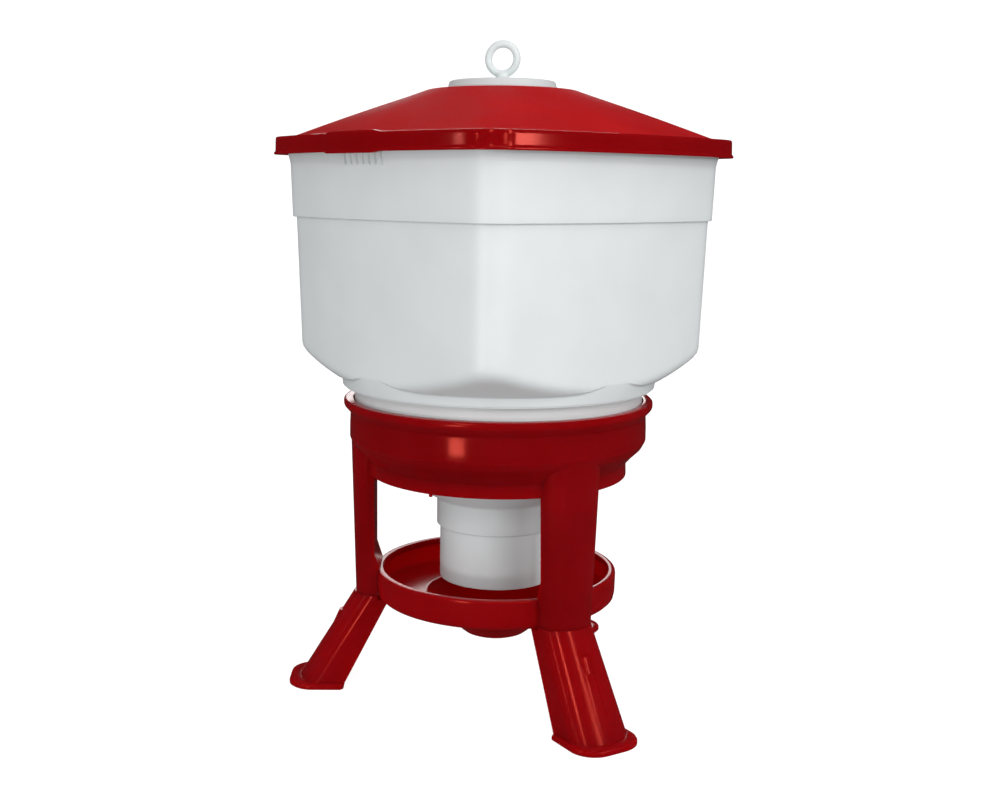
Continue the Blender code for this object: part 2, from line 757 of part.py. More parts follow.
def build_pull(look, steel):
    """Pull ring on a shank that slides in the cap, and the pin that holds the rod in the shank."""
    top = PLATEAU_TOP + CAP_HEIGHT
    bottom = top - SHANK_LENGTH
    throat = top + PULL_RISE - PULL_RADIUS
    shank = turned(
        "pull_ring",
        [
            (0.0, throat + 1.0),
            (SHANK_RADIUS - 1.6, throat + 1.0),
            (SHANK_RADIUS - 0.8, throat - 4.5),
            (SHANK_RADIUS, throat - 7.0),
            (SHANK_RADIUS, bottom + 1.0),
            (SHANK_RADIUS - 1.0, bottom),
            (0.0, bottom),
        ],
        PARTS,
        look,
        closed=False,
        steps=SMALL_STEPS,
    )
    bpy.ops.mesh.primitive_torus_add(
        major_radius=PULL_RADIUS * MM,
        minor_radius=PULL_SECTION * MM,
        major_segments=28,
        minor_segments=8,
        rotation=(math.pi / 2, 0.0, math.radians(PULL_TURN)),
    )
    loop = bpy.context.active_object
    loop.name = "pull_loop"
    for owner in loop.users_collection:
        owner.objects.unlink(loop)
    CUTTERS.objects.link(loop)
    loop.hide_render = True
    loop.display_type = "WIRE"
    loop.parent = AXIS
    loop.location.z = (top + PULL_RISE) * MM
    combine(shank, "UNION", loop)
    rod_room = rod_solid("rod_room", ROD_RADIUS + TOUCH, bottom - 5.0, bottom + ROD_GRIP)
    pin_room = cross_pin("pin_room", PIN_RADIUS + TOUCH, SHANK_RADIUS + 5.0, bottom + ROD_GRIP / 2)
    combine(shank, "DIFFERENCE", rod_room, pin_room)
    pin = cross_pin("rod_pin", PIN_RADIUS, SHANK_RADIUS - 1.0, bottom + ROD_GRIP / 2)
    CUTTERS.objects.unlink(pin)
    PARTS.objects.link(pin)
    pin.hide_render = False
    pin.display_type = "TEXTURED"
    pin.data.materials.append(steel)


def rod_solid(name, radius, low, high):
    return turned(
        name,
        [(0.0, high), (radius, high), (radius, low), (0.0, low)],
        CUTTERS,
        closed=False,
        steps=20,
    )


def cross_pin(name, radius, reach, height):
    """Thin cylinder through the axis, along X."""
    bpy.ops.mesh.primitive_cylinder_add(
        vertices=12, radius=radius * MM, depth=2 * reach * MM, rotation=(0.0, math.pi / 2, 0.0)
    )
    pin = bpy.context.active_object
    pin.name = name
    for owner in pin.users_collection:
        owner.objects.unlink(pin)
    CUTTERS.objects.link(pin)
    pin.hide_render = True
    pin.display_type = "WIRE"
    pin.parent = AXIS
    pin.location.z = height * MM
    return pin


def build_valve(steel, plastic, rubber):
    """Rod, plug with its washer and nut, closing the hole in the tank's floor."""
    seat = FLOOR_TOP - FLOOR_DROP
    shank_bottom = PLATEAU_TOP + CAP_HEIGHT - SHANK_LENGTH
    high = shank_bottom + ROD_GRIP - TOUCH
    low = GUIDE_TOP - GUIDE_HEIGHT - 12.0
    rod = turned(
        "valve_rod",
        [(0.0, high), (ROD_RADIUS, high), (ROD_RADIUS, low + 0.8), (ROD_RADIUS - 0.8, low), (0.0, low)],
        PARTS,
        steel,
        closed=False,
        steps=20,
    )
    pin_hole = cross_pin("pin_hole", PIN_RADIUS + TOUCH, SHANK_RADIUS, shank_bottom + ROD_GRIP / 2)
    combine(rod, "DIFFERENCE", pin_hole)
    bore = ROD_RADIUS + TOUCH
    seal = seat + TOUCH
    plug = seal + PLUG_SEAL + TOUCH
    hub = plug + PLUG_THICKNESS + PLUG_HUB
    turned(
        "plug_seal",
        [
            (PLUG_RADIUS, seal + PLUG_SEAL),
            (PLUG_RADIUS, seal),
            (bore, seal),
            (bore, seal + PLUG_SEAL),
        ],
        PARTS,
        rubber,
        steps=SMALL_STEPS,
    )
    turned(
        "valve_plug",
        [
            (bore, hub),
            (bore + 5.0, hub),
            (bore + 8.0, plug + PLUG_THICKNESS),
            (PLUG_RADIUS - 2.0, plug + PLUG_THICKNESS),
            (PLUG_RADIUS - 1.0, plug + PLUG_THICKNESS - 1.0),
            (PLUG_RADIUS - 1.0, plug),
            (bore, plug),
        ],
        PARTS,
        plastic,
        steps=SMALL_STEPS,
    )
    low = hub + TOUCH
    nut = turned(
        "plug_nut",
        [(0.0, low + NUT_HEIGHT), (NUT_RADIUS, low + NUT_HEIGHT), (NUT_RADIUS, low), (0.0, low)],
        PARTS,
        steel,
        closed=False,
        steps=6,
    )
    combine(nut, "DIFFERENCE", rod_solid("nut_thread", bore, low - 5.0, low + NUT_HEIGHT + 5.0))


def build_outlet(look, rubber):
    """Tube pushed up into the tank's sleeve, its seal, and the three-armed guide of the rod."""
    top = FLOOR_TOP - FLOOR_DROP - SEAT_THICKNESS - 2 * TOUCH - OUTLET_SEAL
    bore = OUTLET_RADIUS - OUTLET_WALL
    turned(
        "outlet_cylinder",
        [
            (OUTLET_RADIUS - 0.8, top),
            (OUTLET_RADIUS, top - 0.8),
            (OUTLET_RADIUS, OUTLET_BOTTOM + 1.4),
            (OUTLET_RADIUS - 0.9, OUTLET_BOTTOM),
            (bore, OUTLET_BOTTOM),
            (bore, top),
        ],
        PARTS,
        look,
    )
    turned(
        "outlet_seal",
        [
            (OUTLET_RADIUS + 0.3, top + TOUCH + OUTLET_SEAL),
            (OUTLET_RADIUS + 0.3, top + TOUCH),
            (bore + 0.3, top + TOUCH),
            (bore + 0.3, top + TOUCH + OUTLET_SEAL),
        ],
        PARTS,
        rubber,
    )
    hub_bore = ROD_RADIUS + SLIDE_FIT
    guide = turned(
        "rod_guide",
        [
            (GUIDE_HUB, GUIDE_TOP),
            (GUIDE_HUB, GUIDE_TOP - GUIDE_HEIGHT),
            (hub_bore, GUIDE_TOP - GUIDE_HEIGHT),
            (hub_bore, GUIDE_TOP),
        ],
        PARTS,
        look,
        steps=24,
    )
    inner = GUIDE_HUB - 2.0
    outer = bore * math.cos(math.pi / TURN_STEPS) - TOUCH
    half = GUIDE_ARM / 2
    low = GUIDE_TOP - GUIDE_HEIGHT + 1.0
    corners = ((-1, inner), (-1, outer), (1, outer), (1, inner))
    for number, angle in enumerate((0.0, 120.0, 240.0), 1):
        arm = lofted(
            f"guide_arm_{number}",
            [
                [(side * half, -reach, height) for side, reach in corners]
                for height in (low, GUIDE_TOP - 1.0)
            ],
            CUTTERS,
            turn=angle,
        )
        combine(guide, "UNION", arm)


def axis_offset():
    """How far the axis is behind the middle of the whole object: the front toe reaches past the lid."""
    reach = [
        max(radius for radius, _ in lid_section(angle)) * math.cos(angle + math.radians(TANK_TURN))
        for angle in square_angles()
    ]
    return (LEG_FOOT_OUTER + TOE_REACH - max(reach)) / 2


def main():
    red = material("red polypropylene", (0.34, 0.006, 0.010), 0.28)
    lid_red = material("red polypropylene, fine grain", (0.42, 0.008, 0.014), 0.45)
    white = material("white polypropylene", (0.70, 0.73, 0.74), 0.40)
    clear = material("natural polypropylene", (0.78, 0.80, 0.80), 0.35)
    steel = material("stainless steel", (0.55, 0.56, 0.57), 0.30)
    rubber = material("black rubber", (0.02, 0.02, 0.02), 0.70)
    build_ring(red)
    build_dish(red)
    relief = turned("leg_relief", dish_room_profile(DISH_BOTTOM - TOUCH), CUTTERS, closed=False)
    for name, angle in LEG_ANGLES.items():
        build_leg(name, angle, red, relief)
    tank = swept("tank", tank_section, PARTS, white, TANK_TURN)
    combine(tank, "UNION", grip_ribs("right_ribs", TANK_TURN), grip_ribs("left_ribs", TANK_TURN + 180))
    build_outlet(white, rubber)
    swept("lid", lid_section, PARTS, lid_red, TANK_TURN)
    swept("lid_gasket", gasket_section, PARTS, rubber, TANK_TURN)
    build_cap(white, rubber)
    build_pull(clear, steel)
    build_valve(steel, white, rubber)


for leftover in list(bpy.data.objects):
    bpy.data.objects.remove(leftover)
PARTS = bpy.data.collections.new("poultry drinker")
CUTTERS = bpy.data.collections.new("cutters")
bpy.context.scene.collection.children.link(PARTS)
bpy.context.scene.collection.children.link(CUTTERS)
CUTTERS.hide_render = True
AXIS = bpy.data.objects.new("drinker_axis", None)
PARTS.objects.link(AXIS)
AXIS.location.y = axis_offset() * MM
main()
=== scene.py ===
"""Looks of the poultry drinker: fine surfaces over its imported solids, moulded plastics, studio light.

Millimetres in the values below, metres in the scene, +Z up. Radii are measured from the drinker's upright
axis, and the front leg points towards -Y.
"""

import math

import bmesh
import bpy
from mathutils import Matrix, Vector


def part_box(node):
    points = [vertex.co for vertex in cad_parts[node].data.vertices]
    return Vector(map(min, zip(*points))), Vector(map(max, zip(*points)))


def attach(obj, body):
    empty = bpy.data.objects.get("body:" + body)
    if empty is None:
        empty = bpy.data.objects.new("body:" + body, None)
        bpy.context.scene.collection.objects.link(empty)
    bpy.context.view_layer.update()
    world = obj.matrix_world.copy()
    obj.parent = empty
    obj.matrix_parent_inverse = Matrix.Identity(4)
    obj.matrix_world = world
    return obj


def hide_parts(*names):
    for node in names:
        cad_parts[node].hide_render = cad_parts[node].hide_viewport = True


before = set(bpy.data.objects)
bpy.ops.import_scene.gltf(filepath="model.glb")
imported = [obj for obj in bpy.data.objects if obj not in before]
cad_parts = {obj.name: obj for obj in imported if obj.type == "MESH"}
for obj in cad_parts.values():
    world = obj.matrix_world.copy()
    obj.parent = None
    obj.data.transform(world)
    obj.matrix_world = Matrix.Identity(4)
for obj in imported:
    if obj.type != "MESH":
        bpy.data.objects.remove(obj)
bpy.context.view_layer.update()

MM = 0.001
SAME_POINT = 0.0000001
outlet_low, outlet_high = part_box("outlet_cylinder")
AXIS = Vector(((outlet_low.x + outlet_high.x) / 2, (outlet_low.y + outlet_high.y) / 2, 0.0))

# Steps round a turned piece, along a bowed side, round a square's corner, in each rounded edge, round the
# nose of a leg or column, round each corner of a toe, and the least angle of an edge that stays sharp
TURN_STEPS = 160
SIDE_STEPS = 28
CORNER_STEPS = 16
EDGE_STEPS = 3
NOSE_STEPS = 28
TOE_STEPS = 10
SHARP_EDGE = 30.0
# Angle from the middle of a side at which the steps of a corner start
CORNER_START = 36

# Support ring and columns
RING_TOP = 332.0
RING_RADIUS = 164.1
RING_WALL = 3.2
BEAD_REACH = 7.7
BEAD_HEIGHT = 14.0
WALL_FLARE = 1.0
WALL_BULGE = 0.85
SHOULDER_TOP = 288.5
SHOULDER_DROP = 15.7
SHOULDER_REACH = 12.4
LEDGE_OUTER = 155.6
LEDGE_HIGH = 279.0
LEDGE_INNER = 142.6
LEDGE_LOW = 266.5
RING_BOTTOM = 247.5
LOWER_REACH = 1.8
LOWER_TOP = 263.0
GATE_ANGLE = -60.8
GATE_REACH = 142.6
GATE_RADIUS = 2.0
GATE_LENGTH = 2.6
COLUMN_TOP = 294.5
COLUMN_BOTTOM = 108.0
COLUMN_TOP_RADIUS = 164.0
COLUMN_BOTTOM_RADIUS = 159.1
COLUMN_INNER_RADIUS = 136.6
COLUMN_TOP_HALF = 33.9
COLUMN_BOTTOM_HALF = 29.6
COLUMN_NOSE = 19.0
COLUMN_WALL = 3.0
SOCKET_TOP = 232.5
FLARE_REACH = 6.4
FLARE_HEIGHT = 20.0
LEG_ANGLES = {"leg_front": 0.0, "leg_left": -120.0, "leg_right": 120.0}

# Drinking dish
DISH_RIM = 137.0
DISH_RADIUS = 136.2
DISH_RIM_WIDTH = 9.0
DISH_RIM_HEIGHT = 5.0
DISH_RIM_ROUND = 3.8
DISH_WALL = 3.2
DISH_DRAFT = 0.8
DISH_BOTTOM = 103.8
DISH_EDGE_ROUND = 9.0
SUMP_RADIUS = 80.0
SUMP_BOTTOM_RADIUS = 34.0
SUMP_DEPTH = 45.0
SUMP_FILLET = 24.0
SUMP_EDGE_ROUND = 20.0
TOUCH = 0.3

# Legs
LEG_TOP = 107.7
LEG_TOP_OUTER = 160.4
LEG_TOP_INNER = 118.5
LEG_TOP_HALF = 31.0
LEG_FOOT_OUTER = 227.0
LEG_FOOT_INNER = 174.0
LEG_FOOT_HALF = 35.0
LEG_NOSE = 25.0
LEG_WALL = 3.2
SPIGOT_LENGTH = 42.0
SPIGOT_ROOT = 2.0
SOCKET_FIT = 0.4
FOOT_THICKNESS = 6.5
FOOT_TOE = 235.0
FOOT_HEEL = 171.5
FOOT_HALF = 39.0
TOE_ROUND = 27.0
HEEL_CHAMFER = 3.0
FOOT_EDGE = 1.0
CHANNEL_OVERLAP = 0.4
CHANNEL_REACH = 30.0
# Distance below the foot's top and how far its outline is drawn in there
FOOT_TOP_ROUND = ((2.4, 0.0), (0.8, 0.8), (0.0, 2.6))
CATCH_DROP = 24.0
CATCH_LENGTH = 16.0
CATCH_HEIGHT = 3.0
CATCH_HALF = 7.0
CATCH_TOE = 0.3
CATCH_ROOT = 2.0
CATCH_STEPS = 12

# Tank
TANK_TURN = 10.5
TANK_WALL = 3.0
TANK_CORNER = 35.0
TANK_SIDE_CURVE = 729.0
TANK_FOOT_HALF = 177.2
TANK_DRAFT = 1.65
BAND_BOTTOM = 528.0
BAND_STEP = 3.6
BAND_HEIGHT = 80.0
BAND_DRAFT = 1.7
FLANGE_REACH = 3.5
FLANGE_THICKNESS = 3.5
FLANGE_FLARE = 19.0
RIB_COUNT = 7
RIB_PITCH = 10.0
RIB_WIDTH = 2.6
RIB_HEIGHT = 24.0
RIB_REACH = 2.8
RIB_SHIFT = 1.5
RIB_SET_BACK = 1.2
COLLAR_BOTTOM = 346.0
COLLAR_HEIGHT = 11.5
COLLAR_RADIUS = 172.6
COLLAR_LIP = 1.2
COLLAR_REBATE = 1.8
COLLAR_RISE = 9.0
COLLAR_RISE_WIDTH = 10.5
FUNNEL_START = 177.3
FUNNEL_ANGLE = 31.0
FUNNEL_ROUND = 12.0
# The tank's outside is plain from this far under its step to this far over its crease, in even steps, and the
# funnels have closer heights over the crease, outside and inside
PLAIN_TOP = 8.0
PLAIN_BOTTOM = 62.0
PLAIN_STEPS = 7
FUNNEL_STEPS = (52, 45, 39, 33, 28, 23, 19, 15, 12, 9, 6.5, 4, 2)
INSIDE_STEPS = (2, 6, 10, 16, 24, 34, 50)
INSIDE_LIFT = 2
SEAT_GAP = 0.45
FLOOR_TOP = 256.5
FLOOR_DROP = 37.0
SEAT_HOLE = 24.0
SEAT_THICKNESS = 4.0
NECK_RADIUS = 159.6
SLEEVE_RADIUS = 67.3
SLEEVE_BOTTOM = 187.5
SLEEVE_WALL = 3.0
OUTLET_RADIUS = 63.5
OUTLET_WALL = 3.0
OUTLET_BOTTOM = 125.8
OUTLET_TOP = 211.9

# Lid
LID_HALF = 201.9
LID_CORNER = 40.0
LID_SIDE_CURVE = 735.0
LID_WALL = 3.0
LID_BAND_BOTTOM = 594.9
LID_BAND_HEIGHT = 19.0
LID_LIP = 2.0
LID_LEDGE = 16.0
LID_CROWN = 1.0
CROWN_SHARES = (0.2, 0.4, 0.6, 0.8)
LEDGE_RISE = 0.4
PLATEAU_TOP = 664.0
PLATEAU_RADIUS = 81.4
GRIP_HALF_LENGTH = 42.5
GRIP_REACH = 2.4
GRIP_RISE = 2.0
GRIP_DROP = 1.5
GRIP_RUN_OUT = 9.0
POLISH_START = 0.5

# Cap and pull ring
CAP_RADIUS = 59.9
CAP_TOP_RADIUS = 56.8
CAP_FLANGE = 3.5
CAP_HEIGHT = 10.1
CAP_WALL = 3.0
CAP_LIFT = 0.3
CAP_SEAL = 2.7
CAP_EDGE = 3.0
CAP_BOSS_WALL = 6.0
SPIGOT_RADIUS = 46.0
CAP_DEPTH = 14.0
SHANK_RADIUS = 8.6
SHANK_LENGTH = 44.0
SHANK_BORE = 8.95
SEAL_GROOVE_DROP = 5.0
SEAL_GROOVE_WIDTH = 3.0
SEAL_GROOVE_DEPTH = 2.4
PULL_RADIUS = 15.65
PULL_SECTION = 3.95
PULL_RISE = 23.8
PULL_TURN = -46.0
PULL_STEPS = 72
PULL_SECTION_STEPS = 24

# Camera, in the photograph's frame
CAMERA_AZIMUTH = -32.25
CAMERA_DISTANCE = 1.42545
CAMERA_HEIGHT = 0.5601
CAMERA_YAW = -1.4
CAMERA_PITCH = 9.3
CAMERA_ROLL = 0.59
CAMERA_LENS = 46.44
CAMERA_SHIFT = 0.0332

# Light: levels of the surroundings and the floor for soft light, for gloss and as the camera sees them, how
# much of the floor's shadow its glow veils, then the floor's size and depth and the height lamps aim at, in m
AMBIENT_LEVEL = 0.56
BOUNCE_LEVEL = 0.38
GLOSS_LEVEL = 0.015
FLOOR_GLOW = 1.5
SKY_SEEN = 1.15
SHADOW_VEIL = 0.6
WHITE_LIGHT = (1.0, 1.0, 1.0, 1.0)
FLOOR_SIZE = 14.0
FLOOR_DEPTH = 0.0004
AIM_HEIGHT = 0.4


# Shapes


def bowed_square(angle, half, corner, side):
    """Distance from the axis to a square with bowed sides and round corners, in the direction of angle."""
    folded = abs((angle + math.pi / 4) % (math.pi / 2) - math.pi / 4)
    arc_centre = half - side
    corner_centre = (math.sqrt(2 * (side - corner) ** 2 - arc_centre**2) + arc_centre) / 2
    normal = math.atan2(corner_centre, corner_centre - arc_centre)
    if folded <= math.atan2(side * math.sin(normal), arc_centre + side * math.cos(normal)):
        return arc_centre * math.cos(folded) + math.sqrt(side**2 - (arc_centre * math.sin(folded)) ** 2)
    offset = corner_centre * (math.cos(folded) - math.sin(folded))
    return corner_centre * (math.cos(folded) + math.sin(folded)) + math.sqrt(corner**2 - offset**2)


def tank_square(angle, half):
    return bowed_square(angle, half, TANK_CORNER, TANK_SIDE_CURVE)


def lid_square(angle, half):
    return bowed_square(angle, half, LID_CORNER, LID_SIDE_CURVE)


def square_angles():
    """Directions round a bowed square: even steps along each side, closer ones round each corner."""
    meet = math.radians(CORNER_START)
    sides = [meet * (2 * step / SIDE_STEPS - 1) for step in range(SIDE_STEPS)]
    corners = [meet + (math.pi / 2 - 2 * meet) * step / CORNER_STEPS for step in range(CORNER_STEPS)]
    return [quarter * math.pi / 2 + angle for quarter in range(4) for angle in sides + corners]


def rounded(profile, closed=True):
    """Profile of (radius, height, edge round) points, each rounded corner as a curve of (radius, height)."""
    points = []
    count = len(profile)
    for i, (radius, height, edge) in enumerate(profile):
        here = Vector((radius, height))
        if not edge or (not closed and i in (0, count - 1)):
            points.append((radius, height))
            continue
        before = Vector(profile[i - 1][:2]) - here
        after = Vector(profile[(i + 1) % count][:2]) - here
        turn = before.angle(after)
        reach = min(edge / math.tan(turn / 2), before.length * 0.48, after.length * 0.48)
        start = here + before.normalized() * reach
        end = here + after.normalized() * reach
        for step in range(EDGE_STEPS + 1):
            share = step / EDGE_STEPS
            near = start.lerp(here, share)
            far = here.lerp(end, share)
            points.append(tuple(near.lerp(far, share)))
    return points


def finished(name, shape):
    """Object on the drinker's axis from a bmesh, shaded smooth but for its sharp edges."""
    mesh = bpy.data.meshes.new(name)
    shape.to_mesh(mesh)
    shape.free()
    mesh.shade_smooth()
    mesh.set_sharp_from_angle(angle=math.radians(SHARP_EDGE))
    made = bpy.data.objects.new(name, mesh)
    made.location = AXIS
    bpy.context.scene.collection.objects.link(made)
    return made


def loft(name, rows, turn=0.0, cyclic_rows=False, caps=False):
    """Surface through rows of points in mm; each row is a closed loop."""
    shape = bmesh.new()
    spin = Matrix.Rotation(math.radians(turn), 3, "Z")
    grid = [[shape.verts.new(spin @ Vector(point) * MM) for point in row] for row in rows]
    pairs = list(zip(grid, grid[1:]))
    if cyclic_rows:
        pairs.append((grid[-1], grid[0]))
    for low, high in pairs:
        for i in range(len(low)):
            n = (i + 1) % len(low)
            shape.faces.new((low[i], low[n], high[n], high[i]))
    if caps:
        shape.faces.new(list(reversed(grid[0])))
        shape.faces.new(grid[-1])
    bmesh.ops.remove_doubles(shape, verts=shape.verts, dist=SAME_POINT)
    bmesh.ops.recalc_face_normals(shape, faces=shape.faces)
    return finished(name, shape)


def turned(name, profile):
    """Turned piece from a closed profile of (radius, height, edge round) points."""
    section = rounded(profile)
    rows = []
    for step in range(TURN_STEPS):
        angle = 2 * math.pi * step / TURN_STEPS
        rows.append([(r * math.cos(angle), r * math.sin(angle), z) for r, z in section])
    return loft(name, rows, cyclic_rows=True)


def swept(name, section, turn):
    """Shell round the axis whose closed section changes with the direction."""
    rows = []
    for angle in square_angles():
        rows.append([(r * math.cos(angle), r * math.sin(angle), z) for r, z in section(angle)])
    return loft(name, rows, turn=turn, cyclic_rows=True)


def combine(target, operation, *others):
    """Boolean of target with each of the others, applied; the others are removed."""
    for other in others:
        step = target.modifiers.new(other.name, "BOOLEAN")
        step.operation = operation
        step.object = other
        step.solver = "EXACT"
    bpy.context.view_layer.update()
    graph = bpy.context.evaluated_depsgraph_get()
    mesh = bpy.data.meshes.new_from_object(target.evaluated_get(graph))
    target.modifiers.clear()
    target.data = mesh
    for other in others:
        bpy.data.objects.remove(other)


def dress(piece, body, look, slot, *nodes):
    """Piece gets its material, rides on its body and stands for its nodes."""
    piece.data.materials.clear()
    piece.data.materials.append(look)
    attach(piece, body)
    if nodes:
        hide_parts(*nodes)
    return piece


def d_outline(outer, inner, half, nose, height):
    """Half-round outline that points along -Y: a round nose outwards and straight sides inwards."""
    nose = min(nose, outer - inner - 1.0)
    points = [(-half, -inner, height)]
    for step in range(NOSE_STEPS + 1):
        angle = math.pi * (1 + step / NOSE_STEPS)
        points.append((half * math.cos(angle), -(outer - nose) + nose * math.sin(angle), height))
    points.append((half, -inner, height))
    return points


# Materials

# Flow marks of the melt: their size, the parts of the noise that they use for colour and for gloss, and how
# far the roughness varies, then the plastic's refractive index
FLOW_MARK_MM = 60.0
FLOW_COLOUR = (0.3, 0.7)
FLOW_GLOSS = (0.35, 0.65)
GLOSS_SPREAD = 0.03
POLYPROPYLENE_IOR = 1.49

# Tint of the red plastic's highlights, how deep light enters it in each colour in metres, and its sheen, then
# the tint of the white plastics' highlights
RED_SHEEN = "#FF6450"
RED_DEPTH = (0.03, 0.0006, 0.0006)
SHEEN_WEIGHT = 0.25
SHEEN_ROUGHNESS = 0.5
SHEEN_COLOUR = "#C01018"
WHITE_SHEEN = "#FFFFFF"

# Spots of the plain materials, drawn as coarse as they need to show: their size, and how far the roughness
# varies
SPOT_MM = 4.0
SPOT_SPREAD = 0.06


def srgb(code):
    """Linear colour from a hex sRGB code."""
    channels = [int(code[i : i + 2], 16) / 255 for i in (1, 3, 5)]
    return (*[c / 12.92 if c <= 0.04045 else ((c + 0.055) / 1.055) ** 2.4 for c in channels], 1.0)


def add(tree, kind, inputs=None, **settings):
    """One shader node with its settings; an input is a value, or the socket that feeds it."""
    made = tree.nodes.new("ShaderNode" + kind)
    for key, value in settings.items():
        setattr(made, key, value)
    for key, value in (inputs or {}).items():
        if isinstance(value, bpy.types.NodeSocket):
            tree.links.new(value, made.inputs[key])
        else:
            made.inputs[key].default_value = value
    return made


def new_material(name):
    """Material with its node tree, its shader and the object's own coordinates."""
    made = bpy.data.materials.new(name)
    made.use_nodes = True
    tree = made.node_tree
    return made, tree, tree.nodes["Principled BSDF"], add(tree, "TexCoord").outputs["Object"]


def scale_of(size_mm):
    """Texture scale that makes one cell of a pattern size_mm wide."""
    return 1000.0 / size_mm


def moulded_polypropylene(name, colours, roughness, grain, sheen_tint, level, glow=0.0):
    """Injection-moulded polypropylene: flow marks between two colours, a gloss and a grain.

    The grain is its size and depth in mm, level the strength of the gloss, and glow the share of light that
    enters the plastic.
    """
    low, high = colours
    grain_mm, grain_depth = grain
    made, tree, shader, place = new_material(name)
    flow = add(tree, "TexNoise", {"Vector": place, "Scale": scale_of(FLOW_MARK_MM), "Detail": 3.0})
    shade = add(
        tree,
        "MapRange",
        {"Value": flow.outputs["Fac"], "From Min": FLOW_COLOUR[0], "From Max": FLOW_COLOUR[1]},
    )
    colour = add(
        tree,
        "MixRGB",
        {"Fac": shade.outputs["Result"], "Color1": srgb(low), "Color2": srgb(high)},
    )
    tree.links.new(colour.outputs["Color"], shader.inputs["Base Color"])
    pores = add(tree, "TexNoise", {"Vector": place, "Scale": scale_of(grain_mm), "Detail": 2.0})
    bump = add(tree, "Bump", {"Height": pores.outputs["Fac"], "Strength": 1.0, "Distance": grain_depth * MM})
    tree.links.new(bump.outputs["Normal"], shader.inputs["Normal"])
    gloss = add(
        tree,
        "MapRange",
        {
            "Value": flow.outputs["Fac"],
            "From Min": FLOW_GLOSS[0],
            "From Max": FLOW_GLOSS[1],
            "To Min": roughness - GLOSS_SPREAD,
            "To Max": roughness + GLOSS_SPREAD,
        },
    )
    tree.links.new(gloss.outputs["Result"], shader.inputs["Roughness"])
    shader.inputs["IOR"].default_value = POLYPROPYLENE_IOR
    shader.inputs["Specular IOR Level"].default_value = level
    shader.inputs["Specular Tint"].default_value = srgb(sheen_tint)
    if glow:
        shader.inputs["Subsurface Weight"].default_value = glow
        shader.inputs["Subsurface Radius"].default_value = RED_DEPTH
        shader.inputs["Subsurface Scale"].default_value = 1.0
        shader.inputs["Sheen Weight"].default_value = SHEEN_WEIGHT
        shader.inputs["Sheen Roughness"].default_value = SHEEN_ROUGHNESS
        shader.inputs["Sheen Tint"].default_value = srgb(SHEEN_COLOUR)
    return made


def plain_material(name, code, roughness, metallic=0.0):
    """One colour whose gloss varies in small spots."""
    made, tree, shader, place = new_material(name)
    spots = add(tree, "TexNoise", {"Vector": place, "Scale": scale_of(SPOT_MM), "Detail": 2.0})
    gloss = add(
        tree,
        "MapRange",
        {
            "Value": spots.outputs["Fac"],
            "To Min": roughness - SPOT_SPREAD,
            "To Max": roughness + SPOT_SPREAD,
        },
    )
    tree.links.new(gloss.outputs["Result"], shader.inputs["Roughness"])
    shader.inputs["Base Color"].default_value = srgb(code)
    shader.inputs["Metallic"].default_value = metallic
    return made


# Stand, dish and legs: a polished mould gives a deep red with sharp, slightly warm highlights, and light that
# enters the plastic makes thin edges glow
stand_red = moulded_polypropylene(
    name="red polypropylene, polished mould",
    colours=("#7D070C", "#85090F"),
    roughness=0.15,
    grain=(9.0, 0.02),
    sheen_tint=RED_SHEEN,
    level=0.3,
    glow=0.8,
)
# Slopes of the lid: a fine spark-eroded grain breaks the highlight up, so that they look matt. It is drawn
# coarser than the real one, which is too fine to show. Their red is painted lighter than the rim's, as
# painted light on faces that turn up to the lamps
lid_red = moulded_polypropylene(
    name="red polypropylene, fine spark-eroded grain",
    colours=("#B2080F", "#BC0C13"),
    roughness=0.5,
    grain=(1.6, 0.4),
    sheen_tint=RED_SHEEN,
    level=0.2,
)
# Rim of the lid: the smoothest face, a dark red that mirrors the lamps as bright blocks
rim_red = moulded_polypropylene(
    name="red polypropylene, polished rim",
    colours=("#7A0509", "#82060B"),
    roughness=0.12,
    grain=(12.0, 0.02),
    sheen_tint=RED_SHEEN,
    level=0.4,
    glow=0.3,
)
# Tank, outlet, guide and plug: a satin mould gives a cool white with soft, wide highlights
white = moulded_polypropylene(
    name="white polypropylene, satin mould",
    colours=("#D9DDDE", "#DDE1E2"),
    roughness=0.4,
    grain=(2.2, 0.02),
    sheen_tint=WHITE_SHEEN,
    level=0.35,
)
# Cap: the same plastic a shade greyer, so that it stands out from the white background
cap_white = moulded_polypropylene(
    name="white polypropylene, cap moulding",
    colours=("#C9CECF", "#CDD2D3"),
    roughness=0.4,
    grain=(2.2, 0.02),
    sheen_tint=WHITE_SHEEN,
    level=0.35,
)
# Pull ring: uncoloured plastic, a pale grey between the tank and the cap
natural = moulded_polypropylene(
    name="natural polypropylene",
    colours=("#D6DCDC", "#DCE1E1"),
    roughness=0.4,
    grain=(3.0, 0.02),
    sheen_tint=WHITE_SHEEN,
    level=0.35,
)
# Seals: black and matt, with almost no highlight
rubber = plain_material("black rubber, moulded", "#1B1B1C", 0.7)
# Rod, pin and nut: a bright grey metal with a clear but soft reflection
steel = plain_material("stainless steel, drawn", "#B9BABB", 0.3, metallic=1.0)


# Stand


def column_size(height):
    """Outer radius and half width of a column at a height."""
    rise = (height - COLUMN_BOTTOM) / (COLUMN_TOP - COLUMN_BOTTOM)
    outer = COLUMN_BOTTOM_RADIUS + (COLUMN_TOP_RADIUS - COLUMN_BOTTOM_RADIUS) * rise
    return outer, COLUMN_BOTTOM_HALF + (COLUMN_TOP_HALF - COLUMN_BOTTOM_HALF) * rise


def column_outline(height):
    """Outline of a column, which flares inwards over the rim of the dish."""
    outer, half = column_size(height)
    flare = min(max((DISH_RIM + FLARE_HEIGHT - height) / (FLARE_HEIGHT - TOUCH), 0.0), 1.0)
    return d_outline(outer, COLUMN_INNER_RADIUS - FLARE_REACH * flare, half, COLUMN_NOSE, height)


